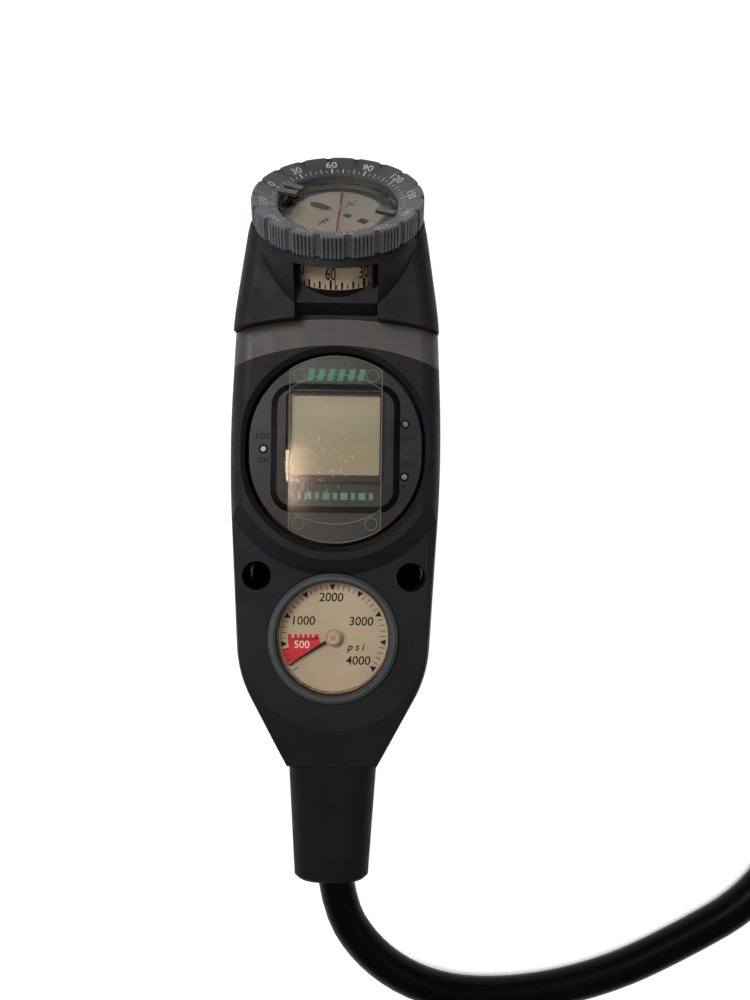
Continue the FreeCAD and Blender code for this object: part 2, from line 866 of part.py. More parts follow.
def spool_start():
    return stem_end() - spool_length / 2 + 0.3


def inlet_stem():
    stem = cylinder(stem_radius, stem_start, gauge_case_radius + 1)
    flange = cylinder(stem_flange_radius, gauge_case_radius - 3, gauge_case_radius + stem_flange_thickness)
    thread = cylinder(stem_thread_radius, gauge_case_radius, stem_end())
    outside = cylinder(gauge_case_radius + running_gap, 0, face_level, 0, gauge_y)
    body = joined(on_line(joined(flange, thread)).cut(outside), on_line(stem))
    passage = on_line(cylinder(1.2, stem_start + 2, stem_end() + 1))
    socket = on_line(cylinder(spool_radius + running_gap, spool_start() - loose_gap, stem_end() + 1))
    return body.cut([passage, socket])


def spool_groove_places():
    return (spool_start() + 2.4, spool_start() + spool_length - 2.4)


def swivel_spool():
    spool = cylinder(spool_radius, spool_start(), spool_start() + spool_length)
    spool = spool.cut(cylinder(0.9, spool_start() - 1, spool_start() + spool_length + 1))
    for place in spool_groove_places():
        spool = spool.cut(ring(spool_radius + 1, spool_radius - 0.9, place - 0.6, place + 0.6))
    return on_line(spool)


def spool_orings():
    rings = [Part.makeTorus(spool_radius - 0.45, 0.42, V(0, 0, place)) for place in spool_groove_places()]
    return on_line(Part.makeCompound(rings))


def hose_nut():
    nut = hexagon(nut_across_flats, nut_start(), nut_start() + nut_length)
    corner = nut_across_flats / math.sqrt(3)
    chamfer = turned([(0, nut_start()), (corner - 0.8, nut_start()), (corner, nut_start() + 0.8),
                      (corner, nut_start() + nut_length - 0.8), (corner - 0.8, nut_start() + nut_length),
                      (0, nut_start() + nut_length)])
    nut = nut.common(chamfer)
    nut = nut.cut(cylinder(stem_thread_radius + loose_gap, 0, nut_start() + nut_length - nut_wall_back))
    return on_line(nut.cut(cylinder(barb_neck_radius + pocket_gap, 0, nut_start() + nut_length + 1)))


def barb_start():
    return stem_end() + 0.3


def ferrule_start():
    return barb_start() + barb_collar_length + barb_neck_length


def hose_start_y():
    return gauge_y - ferrule_start() - ferrule_length


def hose_barb():
    barb = joined(
        cylinder(barb_collar_radius, barb_start(), barb_start() + barb_collar_length),
        cylinder(barb_neck_radius, barb_start(), ferrule_start()))
    socket_end = spool_start() + spool_length + loose_gap
    barb = barb.cut(cylinder(spool_radius + running_gap, barb_start() - 1, socket_end))
    return on_line(barb.cut(cylinder(gas_bore_radius, barb_start() - 1, ferrule_start() + 1)))


def crimped_ferrule(start, length):
    """Sleeve squeezed on the hose, with three crimp grooves."""
    ferrule = cylinder(ferrule_radius, start, start + length)
    pitch = length / 4
    for groove in range(3):
        place = start + pitch * (groove + 1)
        ferrule = ferrule.cut(ring(ferrule_radius + 1, ferrule_radius - 0.5, place - 1.2, place + 1.2))
    return ferrule


def gauge_end_ferrule():
    return on_line(crimped_ferrule(ferrule_start(), ferrule_length))


# Dive computer

def post_places():
    return [(side * post_x, end * post_y) for side in (-1, 1) for end in (-1, 1)]


def at_posts(radius, low, high):
    return [cylinder(radius, low, high, x, computer_y + y) for x, y in post_places()]


def computer_case():
    inner = computer_inner_radius
    case = obround(computer_radius, computer_base, case_rim)
    case = case.cut(obround(inner, computer_base + computer_wall, case_rim + 1))
    ledge = obround_ring(inner + 0.5, inner - board_ledge, board_level - 2.5, board_level)
    well = cylinder(battery_cap_radius + battery_well_wall, computer_base, well_ceiling + 1.2, 0, computer_y)
    case = joined(case, ledge, well, *at_posts(post_radius, computer_base + 1, case_rim))
    case = case.common(obround(computer_radius, computer_base - 1, case_rim))
    cuts = [
        cylinder(battery_cap_radius + loose_gap, 0, cap_top + loose_gap, 0, computer_y),
        cylinder(battery_radius + pocket_gap, 0, well_ceiling, 0, computer_y),
        cylinder(sensor_radius + running_gap, 0, board_level, 0, computer_y + sensor_offset),
    ]
    cuts += at_posts(case_screw_radius + loose_gap, 0, 40)
    cuts += at_posts(case_screw_head_radius + loose_gap, 0, computer_base + 2.4)
    cuts += [cylinder(contact_pin_radius() + loose_gap, battery_top, 40, x, computer_y) for x in contact_places()]
    return case.cut(cuts)


def case_gasket():
    inner = computer_inner_radius
    return obround_ring(computer_radius - loose_gap, inner + loose_gap, case_rim, cover_step)


def window_block():
    """Raised block round the window, its four sides sloped."""
    wires = []
    for grow, level in ((window_slope, cover_level), (0.0, window_level)):
        corners = both_sides([
            (window_half_width + grow, computer_y + window_offset - window_half_height - grow, window_corner + grow),
            (window_half_width + grow, computer_y + window_offset + window_half_height + grow, window_corner + grow)])
        wires.append(rounded_outline(corners, level))
    return Part.makeLoft(wires, True, True)


def computer_cover():
    cover = obround(computer_cover_radius, cover_foot, cover_level)
    cover = cover.cut(obround(computer_radius + pocket_gap, cover_foot - 1, cover_step))
    cover = cover.cut(obround(computer_inner_radius, cover_step - 1, cover_ceiling))
    cover = joined(cover, *at_posts(post_radius, case_rim, cover_ceiling + 0.5))
    cover = joined(cover, window_block())
    seat = rounded_block(lens_half_width + running_gap, lens_half_height + running_gap, lens_corner, lens_foot,
                         window_level + 1, computer_y + lens_offset)
    through = rounded_block(lens_half_width - lens_seat, lens_half_height - lens_seat, mask_corner,
                            cover_ceiling - 1, lens_foot + 0.5, computer_y + lens_offset)
    cover = cover.cut([seat, through])
    cover = cover.cut(at_posts(case_screw_radius + running_gap, 0, cover_ceiling + 0.7))
    return cover.cut([cylinder(stud_radius + running_gap, cover_foot, 40, x, computer_y + y)
                      for x, y in stud_places()])


def computer_window():
    return rounded_block(lens_half_width, lens_half_height, lens_corner, lens_foot, window_level,
                         computer_y + lens_offset)


def lcd_mask():
    """Thin dark frame under the window, open over the display."""
    top = lens_foot - 0.1
    plate = rounded_block(lens_half_width - lens_seat - loose_gap, lens_half_height - lens_seat - loose_gap,
                          mask_corner, top - mask_thickness, top, computer_y + lens_offset)
    return plate.cut(rounded_block(display_half_width, display_half_height, 0.8, top - 5, top + 5,
                                   computer_y + display_offset))


def lcd_top():
    return lens_foot - 0.1 - mask_thickness


def lcd_foot():
    return lcd_top() - glass_thickness


def lcd_module():
    return rounded_block(display_half_width + 0.5, display_half_height + 0.4, 0.6, lcd_foot(), lcd_top(),
                         computer_y + display_offset)


def display_carrier():
    foot = board_level + board_thickness
    half_width = display_half_width + 1.3
    half_height = display_half_height + 1.3
    tray = rounded_block(half_width, half_height, 1.5, foot, min(lcd_foot(), cover_ceiling - 0.1),
                         computer_y + display_offset)
    tray = joined(tray, rounded_block(display_half_width, display_half_height, 1.0, lcd_foot() - 1, lcd_foot(),
                                      computer_y + display_offset))
    return tray.cut(rounded_block(half_width - 2, half_height - 2, 1.0, foot - 1, lcd_foot() - 1.6,
                                  computer_y + display_offset))


def circuit_board():
    board = obround(computer_inner_radius - board_gap, board_level, board_level + board_thickness)
    board = board.cut(at_posts(post_radius + board_gap, 0, 40))
    return board.cut([cylinder(contact_pin_radius() + loose_gap, 0, 40, x, computer_y) for x in contact_places()])


def circuit_chips():
    """Processor and two drivers on the board's underside."""
    top = board_level
    chips = []
    for x, half_width, half_length, height in ((0, 5, 3.5, 1.4), (11, 3, 2, 1.1), (-11, 3, 2, 1.1)):
        chips.append(block(x - half_width, x + half_width, -chip_offset - half_length, -chip_offset + half_length,
                           top - height, top))
    return at_computer(Part.makeCompound(chips))


def battery():
    cell = cylinder(battery_radius, battery_foot, battery_top - 0.8)
    return at_computer(joined(cell, cylinder(battery_radius - 1.6, battery_foot, battery_top)))


def battery_cap():
    cap = cylinder(battery_cap_radius, computer_base, cap_top)
    groove_low = computer_base + 0.9
    cap = cap.cut(ring(battery_cap_radius + 1, battery_cap_radius - 1.4, groove_low, groove_low + 1.6))
    return at_computer(cap.cut(block(-9, 9, -0.9, 0.9, computer_base - 1, computer_base + 1.0)))


def battery_cap_oring():
    middle = computer_base + 1.7
    return at_computer(Part.makeTorus(battery_cap_radius - 0.65, oring_radius, V(0, 0, middle)))


def contact_places():
    return (-7.0, 7.0)


def contact_pin_radius():
    return 0.6


def battery_contacts():
    """Two spring tabs over the cell, each with a pin up to the board."""
    shapes = []
    for x in contact_places():
        tab = block(x - 2.0, x + 2.0, -1.5, 1.5, battery_top, well_ceiling)
        pin = cylinder(contact_pin_radius(), battery_top, board_level + board_thickness, x, 0)
        shapes.append(joined(tab, pin))
    return at_computer(Part.makeCompound(shapes))


def buzzer():
    foot = board_level + board_thickness
    disc = cylinder(buzzer_radius, foot, foot + 2.5, 0, -buzzer_offset)
    return at_computer(disc.cut(cylinder(1.0, foot + 1.5, foot + 3, 0, -buzzer_offset)))


def pressure_sensor():
    """Depth sensor in its port through the case's floor, with its pins up to the board."""
    foot = computer_base + loose_gap
    can = cylinder(sensor_radius, foot, foot + sensor_height, 0, sensor_offset)
    pins = [cylinder(sensor_pin_radius, foot + sensor_height - 0.2, board_level, side * sensor_radius / 2, sensor_offset)
            for side in (-1, 1)]
    return at_computer(joined(can, *pins))


def stud_places():
    """Wet contact on the left and two on the right of the window."""
    right = computer_cover_radius - right_stud_margin
    return ((left_stud_margin - computer_cover_radius, 0.0), (right, right_stud_spread), (right, -right_stud_spread))


def contact_studs():
    foot = board_level + board_thickness
    studs = [cylinder(stud_radius, foot, cover_level + stud_proud, x, y) for x, y in stud_places()]
    return at_computer(Part.makeCompound(studs))


def case_screws():
    screws = []
    for x, y in post_places():
        head = cylinder(case_screw_head_radius, computer_base + 0.2, computer_base + 2.4, x, y)
        head = head.cut(block(x - 3, x + 3, y - 0.35, y + 0.35, computer_base, computer_base + 1.1))
        screws.append(joined(head, cylinder(case_screw_radius, computer_base + 2, cover_ceiling + 0.4, x, y)))
    return at_computer(Part.makeCompound(screws))


def between_arcs(reach, arc):
    """Region whose two ends bulge, towards the compass and towards the gauge."""
    low = cylinder(arc, 0, 60, 0, arc - reach)
    high = cylinder(arc, 0, 60, 0, reach - arc)
    return low.common(high) if reach < arc else joined(low, high)


def lens_guard():
    plate_foot = window_level + guard_gap
    plate_top = plate_foot + guard_thickness
    tab_foot = cover_level + guard_lift
    width = block(-guard_half_width, guard_half_width, -60, 60, 0, 60)
    plate_shape = between_arcs(guard_plate_reach, guard_plate_arc).common(width)
    inner_shape = between_arcs(guard_plate_reach - guard_thickness, guard_plate_arc - guard_thickness)
    tab_shape = between_arcs(guard_tab_reach, guard_tab_arc).common(width).cut(inner_shape)
    plate = plate_shape.common(block(-60, 60, -60, 60, plate_foot, plate_top))
    riser = plate_shape.cut(inner_shape).common(block(-60, 60, -60, 60, tab_foot, plate_top))
    tabs = tab_shape.common(block(-60, 60, -60, 60, tab_foot, tab_foot + guard_thickness))
    reach = window_slope + guard_gap
    window = rounded_block(window_half_width + reach, window_half_height + reach, window_corner, 0, plate_foot,
                           window_offset)
    skirt = joined(riser, tabs).cut(window)
    pads = [cylinder(guard_pad_radius, cover_level + seam_gap, tab_foot, x * guard_pad_x, y * guard_pad_y)
            for x in (-1, 1) for y in (-1, 1)]
    return at_computer(joined(plate, skirt, *pads))


# Compass: all in its own axes until placed

def dish_height(radius):
    """Height of the bezel's dished face at a radius."""
    outer = bezel_radius - bezel_top_inset
    return -bezel_dish * (outer - radius) / (outer - bezel_bore_radius)


def index_post_shape(angle, grow):
    """Bar from over the lens out into the bezel, seated a little into the dished face."""
    top = dish_height(bezel_bore_radius) + post_height
    bar = block(post_inner_radius, bezel_bore_radius + post_seat + grow, -post_width / 2 - grow,
                post_width / 2 + grow, dish_height(bezel_bore_radius) - grow, top)
    bar.rotate(V(0, 0, 0), V(0, 0, 1), angle)
    return bar


def index_post_angles():
    return (bezel_zero - post_spread, bezel_zero + post_spread, bezel_zero + 180)


def bezel_ring():
    top_radius = bezel_radius - bezel_top_inset
    shape = turned([
        (bezel_bore_radius, -bezel_height), (bezel_radius - 0.5, -bezel_height),
        (bezel_radius, -bezel_height + 0.5), (bezel_radius, -bezel_top_inset), (top_radius, 0),
        (bezel_bore_radius, -bezel_dish)])
    groove = ring(bezel_bore_radius + snap_ring_wall, bezel_bore_radius - 1,
                  -snap_groove_drop - snap_groove_width, -snap_groove_drop)
    shape = shape.cut(groove)
    width = bezel_radius * math.radians(lobe_notch_angle)
    notches = []
    for lobe in range(bezel_lobes):
        notch = block(bezel_radius - lobe_notch_depth, bezel_radius + 2, -width / 2, width / 2, -20, 5)
        notch.rotate(V(0, 0, 0), V(0, 0, 1), bezel_zero + lobe_phase + lobe * 360 / bezel_lobes)
        notches.append(notch)
    clicks = []
    for click in range(bezel_clicks):
        cut = block(capsule_pocket_radius + 0.6, collar_top_radius - 0.8, -0.5, 0.5,
                    -bezel_height - 1, -bezel_height + click_depth)
        cut.rotate(V(0, 0, 0), V(0, 0, 1), click * 360 / bezel_clicks)
        clicks.append(cut)
    posts = [index_post_shape(angle, 0.02) for angle in index_post_angles()]
    return in_compass(shape.cut(notches).cut(clicks).cut(posts))


def index_posts():
    return in_compass(Part.makeCompound([index_post_shape(angle, 0.0) for angle in index_post_angles()]))


def bezel_snap_ring():
    """Open ring in the capsule's groove that holds the bezel down."""
    inner = bezel_bore_radius - snap_ring_wall / 2
    middle = -snap_groove_drop - snap_groove_width / 2
    shape = ring(inner + snap_ring_wall, inner, middle - snap_ring_height / 2, middle + snap_ring_height / 2)
    half_gap = bezel_radius * math.tan(math.radians(snap_gap_angle / 2))
    points = [V(0, 0, -20), V(bezel_radius, -half_gap, -20), V(bezel_radius, half_gap, -20)]
    gap = Part.Face(Part.makePolygon(points + points[:1])).extrude(V(0, 0, 30))
    return in_compass(shape.cut(gap))


def spring_leaf(grow):
    """Click spring: a bent leaf in the collar's rim, its pawl up in a notch under the bezel."""
    low = -rim_drop - 1.0
    middle_radius = (capsule_pocket_radius + collar_top_radius) / 2
    half_width = 0.9 + grow
    leaf = block(middle_radius - half_width, middle_radius + half_width, -6 - grow, 6 + grow,
                 low - grow, low + 0.5)
    if grow:
        leaf = block(middle_radius - half_width, middle_radius + half_width, -6 - grow, 6 + grow,
                     low - grow, -rim_drop + 1)
    else:
        pawl = block(middle_radius - half_width, middle_radius + half_width, -0.35, 0.35,
                     low, -bezel_height + click_depth - 0.15)
        leaf = joined(leaf, pawl)
    leaf.rotate(V(0, 0, 0), V(0, 0, 1), spring_angle)
    return leaf


def bezel_click_spring():
    return in_compass(spring_leaf(0.0))


def over_card(radius):
    """Height of the capsule's inside over the card's bevel at a radius."""
    slope = (card_skirt_drop - card_drop) / (card_skirt_radius - card_radius)
    return -card_drop - slope * (radius - card_radius) + card_clearance


def capsule_shell():
    """Clear capsule: flat lens, shoulder under the bezel and side wall."""
    neck_radius = bezel_bore_radius - turning_gap
    lens_inner = neck_radius - capsule_wall
    wall_inner = capsule_radius - capsule_wall
    lens_under = -capsule_lens_drop - capsule_lens_thickness
    groove_inner = bezel_bore_radius - snap_ring_wall / 2 - running_gap
    return in_compass(turned([
        (0, -capsule_lens_drop), (neck_radius - 0.4, -capsule_lens_drop), (neck_radius, -capsule_lens_drop - 0.4),
        (neck_radius, -snap_groove_drop), (groove_inner, -snap_groove_drop),
        (groove_inner, -snap_groove_drop - snap_groove_width), (neck_radius, -snap_groove_drop - snap_groove_width),
        (neck_radius, -capsule_shoulder), (capsule_radius, -capsule_shoulder), (capsule_radius, -capsule_depth),
        (wall_inner, -capsule_depth), (wall_inner, over_card(wall_inner)), (lens_inner, over_card(lens_inner)),
        (lens_inner, lens_under), (0, lens_under)]))


def capsule_base():
    wall_inner = capsule_radius - capsule_wall - running_gap
    base = cylinder(wall_inner, -capsule_depth, -capsule_depth + capsule_base_thickness)
    boss = cylinder(pivot_radius + 1.6, -capsule_depth, -capsule_depth + capsule_base_thickness + 3)
    base = joined(base, boss)
    recess = cylinder(diaphragm_radius + loose_gap, -capsule_depth - 1, -capsule_depth + 2 * diaphragm_thickness,
                      0, diaphragm_offset)
    hole = cylinder(diaphragm_radius - 1.5, -capsule_depth - 1, 0, 0, diaphragm_offset)
    return in_compass(base.cut([recess, hole, cylinder(pivot_radius, -capsule_depth - 1, 0)]))


def diaphragm():
    foot = -capsule_depth + diaphragm_thickness
    return in_compass(cylinder(diaphragm_radius, foot, foot + diaphragm_thickness, 0, diaphragm_offset))


def diaphragm_ring():
    return in_compass(ring(diaphragm_radius, diaphragm_radius - 1.5, -capsule_depth,
                           -capsule_depth + diaphragm_thickness, 0, diaphragm_offset))


def jewel_top():
    return -card_drop - card_wall


def pivot_pin():
    tip = jewel_top() - 0.8
    return in_compass(turned([(0, -capsule_depth), (pivot_radius, -capsule_depth), (pivot_radius, tip - 1.6),
                              (0.15, tip), (0, tip)]))


def compass_card():
    """Disc with a bevel and a deep skirt, so that it reads from above and from the side."""
    skirt_inner = card_skirt_radius - card_wall
    return in_compass(turned([
        (0, -card_drop), (card_radius, -card_drop), (card_skirt_radius, -card_skirt_drop),
        (card_skirt_radius, -card_depth), (skirt_inner, -card_depth), (skirt_inner, -card_skirt_drop - 0.4),
        (card_radius - 0.4, -card_drop - card_wall), (0, -card_drop - card_wall)]))


def card_jewel():
    """Cup that the card turns on, open below over the pivot's point."""
    top = jewel_top()
    tip = top - 0.8 + running_gap
    return in_compass(turned([
        (0, top), (jewel_radius, top), (jewel_radius, top - jewel_height), (pivot_radius + 0.5, top - jewel_height),
        (0.15 + running_gap, tip), (0, tip)]))


def card_magnets():
    top = -card_drop - card_wall
    bars = [block(-magnet_length / 2, magnet_length / 2, side * magnet_offset - magnet_size / 2,
                  side * magnet_offset + magnet_size / 2, top - magnet_size, top) for side in (-1, 1)]
    return in_compass(Part.makeCompound(bars))


# Hose

def hose_route():
    """Control points of the free stretch: straight out of the sleeve, down to the surface and round to the coil."""
    start = hose_start_y()
    join = coil_point(0.0)
    return ([V(0, start, line_height), V(0, start - hose_exit_run, line_height)] + [V(*point) for point in hose_bends]
            + [join - coil_direction(0.0) * coil_entry_run, join])


def smooth(share):
    """Eases from 0 to 1 with level ends."""
    share = min(max(share, 0.0), 1.0)
    return share * share * (3 - 2 * share)


def coil_height(turn):
    layer = 2 * hose_radius + coil_layer_gap
    climb = smooth((turn - coil_climb_start) / (coil_climb_end - coil_climb_start))
    lift = smooth((turn - coil_climb_end) / (coil_turns - coil_climb_end))
    return coil_level + layer * climb + coil_end_lift * lift


def coil_point(turn):
    angle = math.radians(coil_start_angle - 360 * turn)
    return V(coil_x + coil_radius * math.cos(angle), coil_y + coil_radius * math.sin(angle), coil_height(turn))


def coil_direction(turn):
    step = 1e-4
    before = max(turn - step, 0.0)
    after = min(turn + step, coil_turns)
    angle = math.radians(coil_start_angle - 360 * turn)
    slope = (coil_height(after) - coil_height(before)) / ((after - before) * 2 * math.pi * coil_radius)
    return V(math.sin(angle), -math.cos(angle), slope).normalize()


def tube_path(points):
    """Straight runs joined by tangent arcs, each arc as large as its two runs allow."""
    edges = []
    here = points[0]
    radii = []
    for before, corner, after in zip(points, points[1:], points[2:]):
        back = before - corner
        ahead = after - corner
        reach = 0.45 * min(back.Length, ahead.Length)
        half_turn = (math.pi - back.getAngle(ahead)) / 2
        radius = reach / math.tan(half_turn)
        radii.append(radius)
        back.normalize()
        ahead.normalize()
        inward = (back + ahead).normalize()
        start = corner + back * reach
        middle = corner + inward * (radius / math.cos(half_turn) - radius)
        end = corner + ahead * reach
        edges.append(Part.LineSegment(here, start).toShape())
        edges.append(Part.Arc(start, middle, end).toShape())
        here = end
    edges.append(Part.LineSegment(here, points[-1]).toShape())
    print("hose arc radii:", " ".join(f"{radius:.0f}" for radius in radii))
    return Part.Wire(edges)


def tube(path, radius):
    first = path.Edges[0]
    origin = first.valueAt(first.FirstParameter)
    direction = first.tangentAt(first.FirstParameter)
    profile = Part.Wire([Part.Circle(origin, direction, radius).toShape()])
    return path.makePipeShell([profile], True, False)


def report_tube(name, solid, path):
    wanted = math.pi * hose_radius ** 2 * path.Length
    print(f"{name}: length {path.Length:.1f} mm, volume {solid.Volume:.0f} of {wanted:.0f} mm3")


def hose():
    path = tube_path(hose_route())
    solid = tube(path, hose_radius)
    report_tube("hose", solid, path)
    return solid


def arc_between(start, start_way, end, end_way):
    """Two tangent arcs from one point and direction to another."""
    across = end - start
    ways = start_way + end_way
    along = across.dot(ways)
    spread = 2 * (1 - start_way.dot(end_way))
    reach = (-along + math.sqrt(along ** 2 + spread * across.dot(across))) / spread
    first = start + start_way * reach
    second = end - end_way * reach
    joint = (first + second) * 0.5
    edges = []
    for begin, corner, finish in ((start, first, joint), (joint, second, end)):
        back = begin - corner
        ahead = finish - corner
        half_turn = (math.pi - back.getAngle(ahead)) / 2
        radius = back.Length / math.tan(half_turn)
        inward = (back.normalize() + ahead.normalize()).normalize()
        middle = corner + inward * (radius / math.cos(half_turn) - radius)
        edges.append(Part.Arc(begin, middle, finish).toShape())
    return edges


def coil_path():
    steps = round(coil_turns * coil_steps_per_turn)
    edges = []
    for step in range(steps):
        turn = coil_turns * step / steps
        following = coil_turns * (step + 1) / steps
        edges += arc_between(coil_point(turn), coil_direction(turn), coil_point(following),
                             coil_direction(following))
    return Part.Wire(edges)


def coil_self_gap():
    """Least gap between the coil's turns, measured on points a few millimetres apart."""
    count = 240
    points = [coil_point(coil_turns * k / count) for k in range(count + 1)]
    apart = int(0.5 * count / coil_turns)
    least = min((points[i] - points[j]).Length for i in range(count + 1) for j in range(i + apart, count + 1))
    return least - 2 * hose_radius


def hose_coil():
    path = coil_path()
    solid = tube(path, hose_radius)
    report_tube("hose_coil", solid, path)
    print(f"least gap between the coil's turns: {coil_self_gap():.2f} mm")
    return solid


def hose_tie():
    """Rubber strap round the two turns that lie on each other."""
    low = coil_point(tie_turn - 1)
    high = coil_point(tie_turn)
    half = (high.z - low.z) / 2
    inner = hose_radius + tie_gap
    outer = inner + tie_thickness

    def slab(radius):
        solid = obround_wire(radius, half, -tie_width / 2, 0)
        return Part.Face(solid).extrude(V(0, 0, tie_width))
    strap = slab(outer).cut(slab(inner))
    strap.rotate(V(0, 0, 0), V(1, 0, 0), 90)
    way = coil_direction(tie_turn)
    strap.rotate(V(0, 0, 0), V(0, 0, 1), math.degrees(math.atan2(way.y, way.x)) - 90)
    strap.translate(V(low.x, low.y, (low.z + high.z) / 2))
    return strap


def at_port(shape):
    """Moves a shape built along Z to the hose's far end, in line with it."""
    placed = shape.copy()
    way = coil_direction(coil_turns)
    placed.rotate(V(0, 0, 0), V(0, 1, 0), 90)
    placed.rotate(V(0, 0, 0), V(0, 0, 1), math.degrees(math.atan2(way.y, way.x)))
    placed.translate(coil_point(coil_turns))
    return placed


def port_end_ferrule():
    return at_port(crimped_ferrule(0, ferrule_length))


def port_fitting():
    """First-stage end: neck, hexagon and thread with its O-ring groove."""
    hex_start = ferrule_length + port_neck_run
    hex_end = hex_start + port_hex_length
    corner = port_hex_across_flats / math.sqrt(3)
    shaped = hexagon(port_hex_across_flats, hex_start, hex_end)
    shaped.rotate(V(0, 0, 0), V(0, 0, 1), 30)
    chamfer = turned([(0, hex_start), (corner - 0.9, hex_start), (corner, hex_start + 0.9), (corner, hex_end - 0.9),
                      (corner - 0.9, hex_end), (0, hex_end)])
    neck = cylinder(port_neck_radius, ferrule_length, hex_start + 1)
    thread = cylinder(port_thread_radius, hex_end - 1, hex_end + port_thread_length)
    fitting = joined(shaped.common(chamfer), neck, thread)
    groove = ring(port_thread_radius + 1, port_thread_radius - 1.2, hex_end, hex_end + port_groove_width)
    bore = cylinder(gas_bore_radius, ferrule_length - 1, hex_end + port_thread_length + 1)
    return at_port(fitting.cut([groove, bore]))


def port_oring():
    middle = ferrule_length + port_neck_run + port_hex_length + port_groove_width / 2
    return at_port(Part.makeTorus(port_thread_radius - 0.35, 0.8, V(0, 0, middle)))


def band_screws():
    screws = []
    for x, y in band_screw_places():
        cross = block(x - 2, x + 2, y - 0.4, y + 0.4, 0, screw_recess + 1.0)
        screws.append(band_screw(x, y).cut(cross))
    return Part.makeCompound(screws)


pieces = [
    main_boot, accent_band, compass_cradle, neck_sleeve, band_screws,
    gauge_case, gauge_bezel, gauge_lens, lens_gasket, dial_plate, pointer, hub_cap, pointer_shaft, bourdon_spiral,
    movement_frame, blowout_plug, inlet_stem, swivel_spool, spool_orings, hose_nut, hose_barb, gauge_end_ferrule,
    computer_case, case_gasket, computer_cover, computer_window, lcd_mask, lcd_module, display_carrier,
    circuit_board, circuit_chips, battery, battery_cap, battery_cap_oring, battery_contacts, buzzer,
    pressure_sensor, contact_studs, case_screws, lens_guard,
    bezel_ring, index_posts, bezel_snap_ring, bezel_click_spring, capsule_shell, capsule_base, diaphragm,
    diaphragm_ring, pivot_pin, compass_card, card_jewel, card_magnets,
    hose, hose_coil, hose_tie, port_end_ferrule, port_fitting, port_oring,
]

os.makedirs("parts", exist_ok=True)
for piece in pieces:
    save(piece.__name__, piece())
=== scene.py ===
"""Looks of a dive instrument console: rubber boot, tilted compass, dive computer, pressure gauge and coiled hose.

Metres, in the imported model's own frame: Z comes out of the instrument faces and Y runs towards the compass.
"""

import json
import math
import random

import bmesh
import bpy
from mathutils import Matrix, Vector


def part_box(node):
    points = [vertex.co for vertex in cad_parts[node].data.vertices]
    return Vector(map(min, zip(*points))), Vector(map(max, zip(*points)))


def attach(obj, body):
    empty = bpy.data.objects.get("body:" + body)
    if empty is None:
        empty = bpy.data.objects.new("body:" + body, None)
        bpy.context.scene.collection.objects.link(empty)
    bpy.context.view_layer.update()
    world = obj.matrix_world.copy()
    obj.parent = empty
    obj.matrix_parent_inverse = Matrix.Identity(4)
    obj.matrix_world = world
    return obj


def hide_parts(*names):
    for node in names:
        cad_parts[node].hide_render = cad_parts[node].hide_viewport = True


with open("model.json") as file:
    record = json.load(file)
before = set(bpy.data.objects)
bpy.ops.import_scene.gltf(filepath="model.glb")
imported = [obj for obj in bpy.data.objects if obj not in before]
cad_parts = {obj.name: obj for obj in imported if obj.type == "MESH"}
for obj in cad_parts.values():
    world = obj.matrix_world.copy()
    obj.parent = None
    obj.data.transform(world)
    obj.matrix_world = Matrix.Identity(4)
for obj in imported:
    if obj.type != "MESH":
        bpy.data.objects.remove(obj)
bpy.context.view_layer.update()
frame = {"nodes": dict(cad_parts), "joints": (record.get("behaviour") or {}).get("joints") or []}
MM = 0.001

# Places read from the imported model


def middle(node):
    low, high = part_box(node)
    return (low + high) / 2


def joint(name):
    return next(j for j in frame["joints"] if j["name"] == name)


gauge = middle("gauge_bezel")
computer = middle("computer_cover")
compass_axis = Vector(joint("bezel_turn")["axis"]).normalized()
compass_top = Vector(joint("bezel_turn")["pos_m"])
compass_back = Vector((0, compass_axis.z, -compass_axis.y))
compass = Matrix((
    (1, 0, compass_axis.x, compass_top.x),
    (0, compass_back.y, compass_axis.y, compass_top.y),
    (0, compass_back.z, compass_axis.z, compass_top.z),
    (0, 0, 0, 1)))

# Sizes that the marks and the dressed pieces share with the part, in millimetres
bezel_radius = 31.9
bezel_bore = 22.2
bezel_height = 9.0
bezel_dish = 3.0
bezel_zero = 157.0
card_north = 145.0
card_flat = 16.5
card_skirt = 23.4
card_level = -7.8
card_bevel_foot = -12.2
lens_level = -4.8
capsule_radius = 26.0
dial_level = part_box("dial_plate")[1].z / MM
hub_radius = 3.2


# Materials

def linear(code):
    """An sRGB hex colour as linear light."""
    parts = [int(code[k:k + 2], 16) / 255 for k in (1, 3, 5)]
    return tuple(c / 12.92 if c <= 0.04045 else ((c + 0.055) / 1.055) ** 2.4 for c in parts) + (1.0,)


